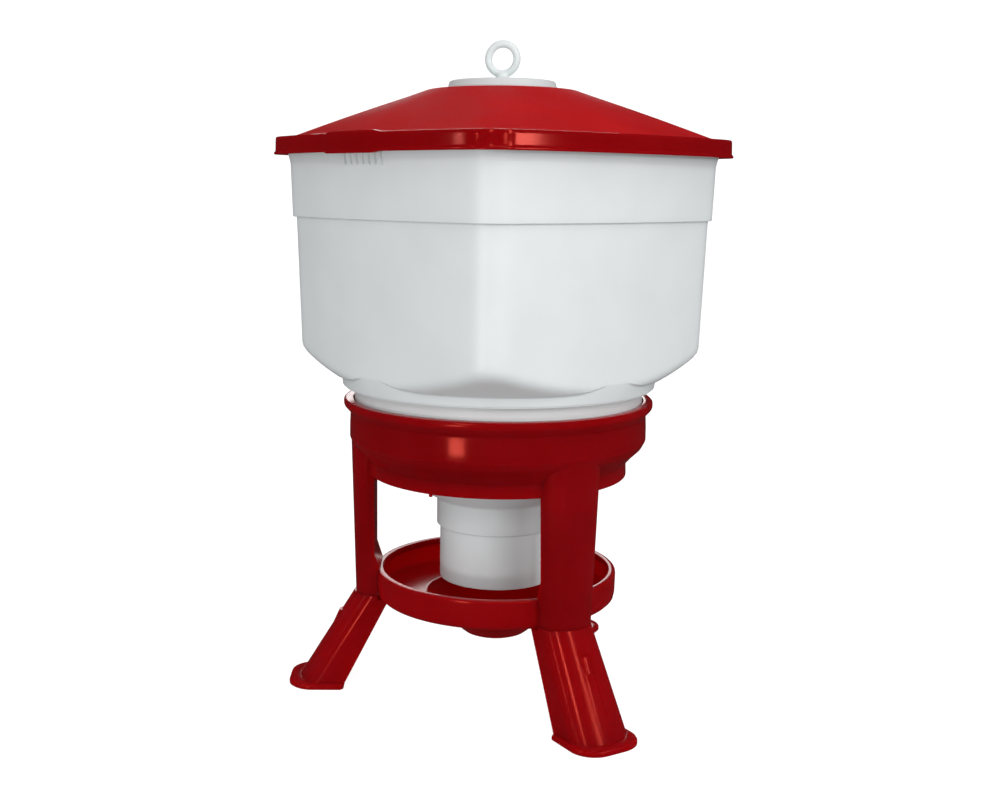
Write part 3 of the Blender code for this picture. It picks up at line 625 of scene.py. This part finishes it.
def socket_outline(height, shrink):
    """Outline of the leg socket inside a column at a height, drawn in by shrink on all sides."""
    outer, half = column_size(height)
    gone = COLUMN_WALL + shrink
    inner = COLUMN_INNER_RADIUS + COLUMN_WALL + shrink
    return d_outline(outer - gone, inner, half - gone, COLUMN_NOSE - gone, height)


def support_ring():
    """Stepped ring with a rolled bead and its three hollow columns."""
    wall = RING_RADIUS + WALL_FLARE
    lower = LEDGE_INNER + LOWER_REACH
    bead = RING_RADIUS + BEAD_REACH
    inside = RING_RADIUS - RING_WALL
    hollow = [
        (LEDGE_INNER - 2.2, RING_BOTTOM),
        (LEDGE_INNER - 0.7, LEDGE_LOW - 7.0),
        (LEDGE_INNER, LEDGE_LOW),
        (LEDGE_OUTER, LEDGE_HIGH),
        (inside, SHOULDER_TOP + 1.0),
    ]
    outline = [
        (inside, RING_TOP, 1.4),
        (bead, RING_TOP, 4.6),
        (bead - 0.4, RING_TOP - 7.5, 4.0),
        (RING_RADIUS + 0.2, RING_TOP - BEAD_HEIGHT - 1.5, 5.0),
        (RING_RADIUS + WALL_BULGE, RING_TOP - 29.0, 0.0),
        (wall, SHOULDER_TOP, 4.0),
        (wall - SHOULDER_REACH / 3, SHOULDER_TOP - SHOULDER_DROP / 2, 6.0),
        (wall - SHOULDER_REACH, SHOULDER_TOP - SHOULDER_DROP, 3.0),
        (lower - 0.5, LOWER_TOP, 3.0),
        (lower, RING_BOTTOM, 4.5),
    ]
    outline += [(radius, height, 1.0) for radius, height in hollow]
    ring = turned("support_ring_shell", outline)
    columns = []
    for name, angle in LEG_ANGLES.items():
        heights = (COLUMN_BOTTOM, DISH_RIM + TOUCH, DISH_RIM + FLARE_HEIGHT, COLUMN_TOP)
        rows = [column_outline(height) for height in heights]
        columns.append(loft(f"{name}_column", rows, angle, caps=True))
    combine(ring, "UNION", *columns)
    ring_room = [(0.0, RING_TOP - 20.0), (inside, RING_TOP - 20.0)] + hollow[::-1]
    ring_room += [(hollow[0][0], RING_BOTTOM - 10.0), (0.0, RING_BOTTOM - 10.0)]
    cutters = [solid_turned("ring_room", ring_room), dish_room("dish_room", COLUMN_BOTTOM - 10.0)]
    for name, angle in LEG_ANGLES.items():
        rows = [socket_outline(height, 0.0) for height in (COLUMN_BOTTOM - 5, SOCKET_TOP)]
        cutters.append(loft(f"{name}_socket", rows, angle, caps=True))
    combine(ring, "DIFFERENCE", *cutters)
    nub = turned_stub("gate_nub", GATE_RADIUS, RING_BOTTOM + 1.0, RING_BOTTOM - GATE_LENGTH)
    nub_angle = math.radians(GATE_ANGLE - 90.0)
    nub_side = Vector((math.cos(nub_angle), math.sin(nub_angle), 0.0))
    nub.data.transform(Matrix.Translation(nub_side * GATE_REACH * MM))
    combine(ring, "UNION", nub)
    ring.data.set_sharp_from_angle(angle=math.radians(SHARP_EDGE))
    return dress(ring, "stand", stand_red, "stand_red", "support_ring")


def turned_stub(name, radius, top, bottom):
    """Small round stub with a rounded end, on the axis."""
    outline = [(0.0, bottom, 0.0), (radius, bottom, radius / 2), (radius, top, 0.0), (0.0, top, 0.0)]
    return solid_turned(name, rounded(outline, closed=False))


def dish_room(name, low):
    """Space round the dish, from low up to its rim, with its gap."""
    room = DISH_RADIUS + TOUCH
    high = DISH_RIM + TOUCH
    return solid_turned(name, [(0.0, high), (room, high), (room, low), (0.0, low)])


def solid_turned(name, profile):
    """Turned solid whose profile starts and ends on the axis."""
    shape = bmesh.new()
    rows = []
    for radius, height in profile:
        if radius == 0.0:
            rows.append([shape.verts.new((0.0, 0.0, height * MM))])
            continue
        row = []
        for step in range(TURN_STEPS):
            angle = 2 * math.pi * step / TURN_STEPS
            place = (radius * math.cos(angle) * MM, radius * math.sin(angle) * MM, height * MM)
            row.append(shape.verts.new(place))
        rows.append(row)
    for high, low in zip(rows, rows[1:]):
        for i in range(TURN_STEPS):
            n = (i + 1) % TURN_STEPS
            if len(high) == 1:
                shape.faces.new((high[0], low[i], low[n]))
            elif len(low) == 1:
                shape.faces.new((high[i], low[0], high[n]))
            else:
                shape.faces.new((high[i], low[i], low[n], high[n]))
    bmesh.ops.recalc_face_normals(shape, faces=shape.faces)
    return finished(name, shape)


def drinking_dish():
    """Round dish with a thick rim and a cone-shaped sump under the outlet."""
    wall = DISH_RADIUS - DISH_DRAFT
    floor = DISH_BOTTOM + DISH_WALL
    sump = DISH_BOTTOM - SUMP_DEPTH
    rim_inner = DISH_RADIUS - DISH_RIM_WIDTH
    outline = [
        (0.0, sump + DISH_WALL, 0.0),
        (SUMP_BOTTOM_RADIUS - 2.0, sump + DISH_WALL, 7.0),
        (SUMP_RADIUS - 2.0, floor, 6.0),
        (wall - DISH_WALL, floor, DISH_EDGE_ROUND - 2.0),
        (wall - DISH_WALL, DISH_RIM - 2 * DISH_RIM_HEIGHT, 1.5),
        (rim_inner, DISH_RIM - DISH_RIM_HEIGHT, 1.2),
        (rim_inner + 0.6, DISH_RIM, DISH_RIM_ROUND),
        (DISH_RADIUS, DISH_RIM, DISH_RIM_ROUND),
        (wall, DISH_BOTTOM, DISH_EDGE_ROUND),
        (SUMP_RADIUS, DISH_BOTTOM, SUMP_FILLET),
        (SUMP_BOTTOM_RADIUS, sump, SUMP_EDGE_ROUND),
        (0.0, sump, 0.0),
    ]
    section = rounded(outline, closed=False)
    dish = solid_turned("drinking_dish_shell", section)
    return dress(dish, "stand", stand_red, "stand_red", "drinking_dish")


def leg_outline(height, shrink, inner_shrink):
    """Outline of a leg at a height, drawn in by shrink outside and inner_shrink at its inner face."""
    drop = 1 - height / LEG_TOP
    outer = LEG_TOP_OUTER + (LEG_FOOT_OUTER - LEG_TOP_OUTER) * drop
    inner = LEG_TOP_INNER + (LEG_FOOT_INNER - LEG_TOP_INNER) * drop
    half = LEG_TOP_HALF + (LEG_FOOT_HALF - LEG_TOP_HALF) * drop
    return d_outline(outer - shrink, inner + inner_shrink, half - shrink, LEG_NOSE - shrink, height)


def foot_outline(height, shrink):
    """Foot seen from above: chamfered heel, round toe."""
    toe = FOOT_TOE - shrink
    half = FOOT_HALF - shrink
    heel = FOOT_HEEL + shrink
    points = [(-half + HEEL_CHAMFER, -heel, height), (-half, -heel - HEEL_CHAMFER, height)]
    for side in (-1, 1):
        start = math.pi if side < 0 else 1.5 * math.pi
        for step in range(TOE_STEPS + 1):
            angle = start + math.pi / 2 * step / TOE_STEPS
            x = side * (half - TOE_ROUND) + TOE_ROUND * math.cos(angle)
            y = -(toe - TOE_ROUND) + TOE_ROUND * math.sin(angle)
            points.append((x, y, height))
    points += [(half, -heel - HEEL_CHAMFER, height), (half - HEEL_CHAMFER, -heel, height)]
    return points


def leg_catch(name, angle):
    """Rounded wedge on the ridge of the leg, thick at its top edge."""
    slope = (LEG_FOOT_OUTER - LEG_TOP_OUTER) / LEG_TOP
    high = LEG_TOP - CATCH_DROP
    low = high - CATCH_LENGTH
    outer_high = LEG_TOP_OUTER + slope * CATCH_DROP
    outer_low = LEG_TOP_OUTER + slope * (CATCH_DROP + CATCH_LENGTH)
    rows = []
    for height, outer, reach in ((low, outer_low, CATCH_TOE), (high, outer_high, CATCH_HEIGHT)):
        row = []
        for step in range(CATCH_STEPS + 1):
            around = math.pi * (1 + step / CATCH_STEPS)
            out = -outer + CATCH_ROOT + (reach + CATCH_ROOT) * math.sin(around)
            row.append((CATCH_HALF * math.cos(around), out, height))
        rows.append(row)
    return loft(f"{name}_catch", rows, angle, caps=True)


def leg(name, angle):
    """Channel leg, open to the inside, with its flat foot, spigot and catch."""
    piece = loft(f"{name}_shell", [leg_outline(z, 0.0, 0.0) for z in (FOOT_EDGE, LEG_TOP)], angle, caps=True)
    edges = [(0.0, FOOT_EDGE), (FOOT_EDGE, 0.0)]
    edges += [(FOOT_THICKNESS - down, shrink) for down, shrink in FOOT_TOP_ROUND]
    foot = loft(f"{name}_foot", [foot_outline(z, shrink) for z, shrink in edges], angle, caps=True)
    heights = (FOOT_THICKNESS - CHANNEL_OVERLAP, DISH_BOTTOM - TOUCH - LEG_WALL)
    rows = [leg_outline(z, LEG_WALL, -CHANNEL_REACH) for z in heights]
    channel = loft(f"{name}_channel", rows, angle, caps=True)
    rows = [socket_outline(z, SOCKET_FIT) for z in (LEG_TOP - SPIGOT_ROOT, LEG_TOP + SPIGOT_LENGTH)]
    spigot = loft(f"{name}_spigot", rows, angle, caps=True)
    combine(piece, "UNION", foot)
    combine(piece, "DIFFERENCE", channel, dish_room(f"{name}_relief", DISH_BOTTOM - TOUCH))
    combine(piece, "UNION", spigot, leg_catch(name, angle))
    piece.data.set_sharp_from_angle(angle=math.radians(SHARP_EDGE))
    return dress(piece, "stand", stand_red, "stand_red", name)


# Tank and outlet


def side_share(angle):
    """1 at the middle of a flat side of the tank, falling to 0 on both sides of it."""
    off = (math.degrees(angle) + 45) % 90 - 45
    return math.exp(-((off / COLLAR_RISE_WIDTH) ** 2))


def rounded_min(a, b, size):
    """The smaller of two lengths, with the crease between them rounded over about size."""
    blend = max(size - abs(a - b), 0.0) / size
    return min(a, b) - blend * blend * size / 4


def lower_wall(angle, height):
    """Outer radius of the tank below its step: drafted sides meet a funnel under each corner."""
    foot = COLLAR_BOTTOM + COLLAR_HEIGHT
    half = TANK_FOOT_HALF + (height - foot) * math.tan(math.radians(TANK_DRAFT))
    funnel = FUNNEL_START + (height - foot) / math.tan(math.radians(FUNNEL_ANGLE))
    return rounded_min(tank_square(angle, half), funnel, FUNNEL_ROUND)


def band_half(height):
    """Half width of the tank's upper band, above the step."""
    foot = COLLAR_BOTTOM + COLLAR_HEIGHT
    below = TANK_FOOT_HALF + (BAND_BOTTOM - foot) * math.tan(math.radians(TANK_DRAFT))
    return below + BAND_STEP + (height - BAND_BOTTOM) * math.tan(math.radians(BAND_DRAFT))


def tank_section(angle):
    """Closed section of the tank at one direction: down the outside, through the floor, up the inside."""
    rim = BAND_BOTTOM + BAND_HEIGHT
    flange = rim - FLANGE_THICKNESS
    side = side_share(angle)
    crease = COLLAR_BOTTOM + COLLAR_HEIGHT + COLLAR_RISE * side
    slope = (LEDGE_HIGH - LEDGE_LOW) / (LEDGE_OUTER - LEDGE_INNER)
    seat = FLOOR_TOP - FLOOR_DROP
    bore = SLEEVE_RADIUS - SLEEVE_WALL
    lip = tank_square(angle, band_half(rim) + FLANGE_REACH)
    step_out = tank_square(angle, band_half(BAND_BOTTOM))
    profile = [
        (lip, rim, 0.8),
        (lip, flange, 0.8),
        (tank_square(angle, band_half(flange - FLANGE_FLARE)), flange - FLANGE_FLARE, 6.0),
        (tank_square(angle, band_half(BAND_BOTTOM + 8)), BAND_BOTTOM + 8, 0.0),
        (step_out, BAND_BOTTOM + 0.2, 1.3),
        (lower_wall(angle, BAND_BOTTOM) + 0.1, BAND_BOTTOM, 0.5),
    ]
    top, bottom = BAND_BOTTOM - PLAIN_TOP, crease + PLAIN_BOTTOM
    heights = [top + (bottom - top) * share / PLAIN_STEPS for share in range(PLAIN_STEPS + 1)]
    heights += [crease + up for up in FUNNEL_STEPS]
    profile += [(lower_wall(angle, height), height, 0.0) for height in heights]
    brim = COLLAR_RADIUS + COLLAR_LIP + (TANK_FOOT_HALF - COLLAR_RADIUS) * side
    profile += [
        (min(lower_wall(angle, crease), brim), crease, 1.6),
        (COLLAR_RADIUS, COLLAR_BOTTOM + COLLAR_REBATE, 0.4),
        (COLLAR_RADIUS - COLLAR_REBATE, COLLAR_BOTTOM + COLLAR_REBATE, 0.2),
        (COLLAR_RADIUS - COLLAR_REBATE, COLLAR_BOTTOM, 0.6),
        (NECK_RADIUS, COLLAR_BOTTOM, 0.8),
        (NECK_RADIUS, SHOULDER_TOP + 2.0, 3.0),
        (LEDGE_OUTER - 1.0, LEDGE_HIGH - slope + SEAT_GAP, 2.0),
        (LEDGE_INNER - 2.5, LEDGE_LOW - 2.5 * slope + SEAT_GAP, 1.5),
        (LEDGE_INNER - 4.0, FLOOR_TOP, 1.5),
        (SLEEVE_RADIUS, seat - 1.0, 5.0),
        (SLEEVE_RADIUS, SLEEVE_BOTTOM, 0.9),
        (bore, SLEEVE_BOTTOM, 0.5),
        (bore, seat - SEAT_THICKNESS, 0.5),
        (SEAT_HOLE, seat - SEAT_THICKNESS, 0.6),
        (SEAT_HOLE, seat, 0.8),
        (SLEEVE_RADIUS - 2.3, seat, 4.0),
        (LEDGE_INNER - 6.5, FLOOR_TOP + 2.4, 3.0),
        (LEDGE_INNER - 5.5, LEDGE_LOW + 2.5, 2.0),
        (LEDGE_OUTER - 3.6, LEDGE_HIGH + 2.8, 4.0),
        (NECK_RADIUS - TANK_WALL, SHOULDER_TOP + 4.5, 3.0),
        (NECK_RADIUS - TANK_WALL, COLLAR_BOTTOM + TANK_WALL, 3.0),
    ]
    for up in INSIDE_STEPS:
        profile.append((lower_wall(angle, crease + up) - TANK_WALL, crease + up + INSIDE_LIFT, 0.0))
    profile += [
        (lower_wall(angle, BAND_BOTTOM) - TANK_WALL, BAND_BOTTOM + 1, 1.0),
        (tank_square(angle, band_half(BAND_BOTTOM + 5)) - TANK_WALL, BAND_BOTTOM + 5, 1.0),
        (tank_square(angle, band_half(rim)) - TANK_WALL, rim, 0.8),
    ]
    return rounded(profile)


def grip_ribs(turn):
    """Row of small upright ribs under the tank's flange, where a hand lifts the tank."""
    rim = BAND_BOTTOM + BAND_HEIGHT
    high = rim - FLANGE_THICKNESS / 2
    low = high - RIB_HEIGHT
    wall = band_half(low)
    back = wall - TANK_WALL / 2
    profile = [(back, low), (wall, low), (wall + RIB_REACH, low + RIB_REACH)]
    profile += [(band_half(rim) + FLANGE_REACH - RIB_SET_BACK, high), (back, high)]
    ribs = []
    for number in range(RIB_COUNT):
        middle = RIB_SHIFT + (number - (RIB_COUNT - 1) / 2) * RIB_PITCH
        rows = [[(x, middle + side, z) for x, z in profile] for side in (-RIB_WIDTH / 2, RIB_WIDTH / 2)]
        ribs.append(loft(f"rib_{turn:.0f}_{number}", rows, turn, caps=True))
    return ribs


def tank():
    """Tank with its two rows of grip ribs."""
    piece = swept("tank_shell", tank_section, TANK_TURN)
    combine(piece, "UNION", *grip_ribs(TANK_TURN), *grip_ribs(TANK_TURN + 180.0))
    piece.data.set_sharp_from_angle(angle=math.radians(SHARP_EDGE))
    return dress(piece, "tank", white, "white", "tank")


def outlet():
    """Tube pushed up into the tank's sleeve."""
    bore = OUTLET_RADIUS - OUTLET_WALL
    profile = [(OUTLET_RADIUS, OUTLET_TOP, 0.8), (OUTLET_RADIUS, OUTLET_BOTTOM, 1.3)]
    profile += [(bore, OUTLET_BOTTOM, 1.0), (bore, OUTLET_TOP, 0.6)]
    piece = turned("outlet_tube", profile)
    return dress(piece, "tank", white, "white", "outlet_cylinder")


# Lid, cap and pull ring


def grip(angle):
    """How far the lid's grip swelling is developed at a direction, from 0 to 1: on the two X sides."""
    along = abs(LID_HALF * math.tan((angle + math.pi / 2) % math.pi - math.pi / 2))
    share = min(max((GRIP_HALF_LENGTH - along) / GRIP_RUN_OUT + 0.5, 0.0), 1.0)
    return share * share * (3 - 2 * share)


def lid_section(angle):
    """Closed section of the lid: ledge and band outside, then its hollow underside."""
    swell = grip(angle)
    top = LID_BAND_BOTTOM + LID_BAND_HEIGHT
    bottom = LID_BAND_BOTTOM - GRIP_DROP * swell
    edge = lid_square(angle, LID_HALF) + GRIP_REACH * swell
    ledge = lid_square(angle, LID_HALF - LID_LEDGE)
    hole = SPIGOT_RADIUS + TOUCH
    under = top - LID_WALL
    inner = lid_square(angle, LID_HALF) - LID_WALL
    run = ledge - PLATEAU_RADIUS
    fall = PLATEAU_TOP - top - LEDGE_RISE
    slope = []
    for share in CROWN_SHARES:
        height = PLATEAU_TOP - fall * share + LID_CROWN * math.sin(math.pi * share)
        slope.append((PLATEAU_RADIUS + run * share, height, 0.0))
    profile = [
        (hole, PLATEAU_TOP, 0.6),
        (PLATEAU_RADIUS, PLATEAU_TOP, 6.0),
        *slope,
        (ledge, top + LEDGE_RISE, 2.5),
        (edge, top + GRIP_RISE * swell, 4.2),
        (edge + 0.1, top - 5.4, 0.0),
        (edge + 0.4, bottom + 5.0, 0.0),
        (edge + 0.6, bottom + 3.4, 1.0),
        (edge + LID_LIP, bottom + 2.4, 0.8),
        (edge + LID_LIP, bottom, 0.9),
        (inner, bottom, 0.6),
        (inner, under, 2.0),
        (ledge - LID_WALL / 2, under, 2.5),
        (PLATEAU_RADIUS - 2.0, PLATEAU_TOP - LID_WALL, 6.0),
        (hole, PLATEAU_TOP - LID_WALL, 0.5),
    ]
    return rounded(profile)


def lid():
    """Lid: grained and painted lighter on its slopes, polished from the ledge outwards."""
    piece = swept("lid_shell", lid_section, TANK_TURN)
    # The slopes get a red painted lighter for the light that falls on them; the rim keeps the plastic's own
    # deep red
    dress(piece, "lid", lid_red, "lid_red", "lid")
    piece.data.materials.append(rim_red)
    spin = Matrix.Rotation(math.radians(-TANK_TURN), 3, "Z")
    for face in piece.data.polygons:
        centre = spin @ (face.center / MM)
        angle = math.atan2(centre.y, centre.x)
        reach = math.hypot(centre.x, centre.y)
        if reach > lid_square(angle, LID_HALF - LID_LEDGE) + POLISH_START:
            face.material_index = 1
    return piece


def cap():
    """Shallow round cap with a bore for the shank."""
    low = PLATEAU_TOP + CAP_LIFT
    top = PLATEAU_TOP + CAP_HEIGHT
    bottom = PLATEAU_TOP - CAP_DEPTH
    groove = top - SEAL_GROOVE_DROP
    profile = [
        (SHANK_BORE, top, 0.6),
        (CAP_TOP_RADIUS, top, 2.6),
        (CAP_RADIUS - 1.2, low + CAP_FLANGE, 1.0),
        (CAP_RADIUS, low + CAP_FLANGE, 0.8),
        (CAP_RADIUS, low, 0.5),
        (CAP_RADIUS - CAP_EDGE, low, 0.4),
        (CAP_RADIUS - CAP_EDGE, low + CAP_SEAL, 0.4),
        (SPIGOT_RADIUS, low + CAP_SEAL, 0.4),
        (SPIGOT_RADIUS, bottom, 0.8),
        (SPIGOT_RADIUS - CAP_WALL, bottom, 0.8),
        (SPIGOT_RADIUS - CAP_WALL, top - CAP_WALL, 2.0),
        (SHANK_BORE + CAP_BOSS_WALL, top - CAP_WALL, 1.0),
        (SHANK_BORE + CAP_BOSS_WALL, bottom, 0.8),
        (SHANK_BORE, bottom, 0.5),
        (SHANK_BORE, groove - SEAL_GROOVE_WIDTH, 0.3),
        (SHANK_BORE + SEAL_GROOVE_DEPTH, groove - SEAL_GROOVE_WIDTH, 0.3),
        (SHANK_BORE + SEAL_GROOVE_DEPTH, groove, 0.3),
        (SHANK_BORE, groove, 0.3),
    ]
    return dress(turned("cap_shell", profile), "cap", cap_white, "white", "cap")


def pull_ring():
    """Finger ring on a round shank, one moulding in natural plastic."""
    top = PLATEAU_TOP + CAP_HEIGHT
    bottom = top - SHANK_LENGTH
    throat = top + PULL_RISE - PULL_RADIUS
    outline = [
        (0.0, throat + 1.0, 0.0),
        (SHANK_RADIUS - 1.6, throat + 1.0, 0.8),
        (SHANK_RADIUS - 0.9, throat - 4.5, 3.0),
        (SHANK_RADIUS, throat - 7.5, 2.0),
        (SHANK_RADIUS, bottom, 1.0),
        (0.0, bottom, 0.0),
    ]
    shank = solid_turned("pull_ring_shell", rounded(outline, closed=False))
    bpy.ops.mesh.primitive_torus_add(
        major_radius=PULL_RADIUS * MM,
        minor_radius=PULL_SECTION * MM,
        major_segments=PULL_STEPS,
        minor_segments=PULL_SECTION_STEPS,
        location=AXIS + Vector((0.0, 0.0, (top + PULL_RISE) * MM)),
        rotation=(math.pi / 2, 0.0, math.radians(PULL_TURN)),
    )
    loop = bpy.context.active_object
    loop.data.shade_smooth()
    combine(shank, "UNION", loop)
    return dress(shank, "valve", natural, "natural", "pull_ring")


# Studio


def stage():
    """White floor that keeps the object's soft shadow and is dim in its gloss."""
    bpy.ops.mesh.primitive_plane_add(size=FLOOR_SIZE, location=(0.0, 0.0, -FLOOR_DEPTH))
    floor = bpy.context.active_object
    floor.name = "studio_floor"
    made = bpy.data.materials.new("studio paper")
    made.use_nodes = True
    tree = made.node_tree
    shader = tree.nodes["Principled BSDF"]
    shader.inputs["Base Color"].default_value = srgb("#F4F4F4")
    shader.inputs["Roughness"].default_value = 1.0
    shader.inputs["Specular IOR Level"].default_value = 0.0
    rays = add(tree, "LightPath")
    glow = add(tree, "Emission", {"Color": WHITE_LIGHT, "Strength": FLOOR_GLOW})
    seen = add(tree, "MixShader", {0: SHADOW_VEIL, 1: shader.outputs["BSDF"], 2: glow.outputs["Emission"]})
    level = add(
        tree,
        "MapRange",
        {"Value": rays.outputs["Is Glossy Ray"], "To Min": BOUNCE_LEVEL, "To Max": GLOSS_LEVEL},
    )
    bounce = add(tree, "Emission", {"Color": WHITE_LIGHT, "Strength": level.outputs["Result"]})
    mix = add(
        tree,
        "MixShader",
        {0: rays.outputs["Is Camera Ray"], 1: bounce.outputs["Emission"], 2: seen.outputs["Shader"]},
    )
    tree.links.new(mix.outputs["Shader"], tree.nodes["Material Output"].inputs["Surface"])
    floor.data.materials.append(made)


def sky():
    """Even pale surroundings: white behind the object, dimmer where the gloss would pick them up."""
    world = bpy.data.worlds.new("studio")
    world.use_nodes = True
    tree = world.node_tree
    back = tree.nodes["Background"]
    back.inputs["Color"].default_value = WHITE_LIGHT
    rays = add(tree, "LightPath")
    level = add(
        tree,
        "MapRange",
        {"Value": rays.outputs["Is Glossy Ray"], "To Min": AMBIENT_LEVEL, "To Max": GLOSS_LEVEL},
    )
    seen = add(
        tree,
        "MapRange",
        {"Value": rays.outputs["Is Camera Ray"], "To Min": level.outputs["Result"], "To Max": SKY_SEEN},
    )
    tree.links.new(seen.outputs["Result"], back.inputs["Strength"])
    bpy.context.scene.world = world


def lamp(name, azimuth, distance, middle, width, height, watts):
    """Upright soft box at an azimuth measured as the camera's, its middle that high, facing the object."""
    made = bpy.data.objects.new(name, bpy.data.lights.new(name, "AREA"))
    made.data.shape = "RECTANGLE"
    made.data.size = width
    made.data.size_y = height
    made.data.energy = watts
    a = math.radians(azimuth)
    made.location = (math.sin(a) * distance, -math.cos(a) * distance, middle)
    aim = Vector((0.0, 0.0, AIM_HEIGHT)) - made.location
    made.rotation_mode = "QUATERNION"
    made.rotation_quaternion = aim.to_track_quat("-Z", "Y")
    bpy.context.scene.collection.objects.link(made)


def camera():
    """Camera at the photograph's viewing angle, square to its frame."""
    azimuth = math.radians(CAMERA_AZIMUTH)
    yaw = math.radians(CAMERA_YAW)
    pitch = math.radians(CAMERA_PITCH)
    roll = math.radians(CAMERA_ROLL)
    level = Vector((-math.sin(azimuth), math.cos(azimuth), 0.0))
    side = Vector((math.cos(azimuth), math.sin(azimuth), 0.0))
    upward = Vector((0.0, 0.0, 1.0))
    ahead = level * math.cos(yaw) + side * math.sin(yaw)
    across = side * math.cos(yaw) - level * math.sin(yaw)
    look = ahead * math.cos(pitch) - upward * math.sin(pitch)
    rise = ahead * math.sin(pitch) + upward * math.cos(pitch)
    right = across * math.cos(roll) + rise * math.sin(roll)
    top = rise * math.cos(roll) - across * math.sin(roll)
    place = AXIS - level * CAMERA_DISTANCE + upward * CAMERA_HEIGHT
    made = bpy.data.objects.new("camera", bpy.data.cameras.new("camera"))
    made.data.sensor_width = 36.0
    made.data.lens = CAMERA_LENS
    made.data.shift_x = CAMERA_SHIFT
    turn = Matrix((right, top, -look)).transposed().to_4x4()
    made.matrix_world = Matrix.Translation(place) @ turn
    bpy.context.scene.collection.objects.link(made)
    bpy.context.scene.camera = made


# Inner pieces keep the shape of their solids and get only a material
INNER_PIECES = (
    (white, ("rod_guide", "valve_plug")),
    (steel, ("valve_rod", "rod_pin", "plug_nut")),
    (rubber, ("outlet_seal", "lid_gasket", "cap_seal", "shaft_seal", "plug_seal")),
)

# Lamps: azimuth in degrees, then distance, height of the middle, width and height in metres, then power in
# watts
LAMPS = {
    "key softbox": (12.0, 2.4, 1.6, 0.32, 1.4, 19.0),
    "rim panel": (26.0, 2.4, 0.84, 0.36, 0.3, 7.0),
    "rim bar": (-1.0, 2.4, 0.84, 0.35, 0.3, 2.5),
    "front strip": (-36.0, 2.0, 1.25, 0.16, 0.3, 4.5),
    "left softbox": (-88.0, 2.4, 1.8, 0.5, 0.5, 3.0),
    "edge strip": (-101.0, 2.4, 0.84, 0.035, 0.3, 1.0),
    "leg strip": (-70.0, 2.0, 0.7, 0.04, 0.2, 1.2),
    "low fill": (-56.0, 1.9, 0.45, 0.3, 0.2, 3.0),
    "low flash": (-61.5, 1.6, 0.06, 0.3, 0.14, 3.6),
    "back fill": (150.0, 2.4, 1.1, 1.0, 1.0, 9.0),
    "top softbox": (-10.0, 0.8, 2.4, 1.2, 1.2, 6.5),
}


def main():
    bpy.context.scene.view_settings.view_transform = "Standard"
    camera()
    sky()
    stage()
    for name, sizes in LAMPS.items():
        lamp(name, *sizes)
    support_ring()
    drinking_dish()
    for name, angle in LEG_ANGLES.items():
        leg(name, angle)
    tank()
    outlet()
    lid()
    cap()
    pull_ring()
    for look, names in INNER_PIECES:
        for name in names:
            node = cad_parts[name]
            node.data.materials.clear()
            node.data.materials.append(look)


main()
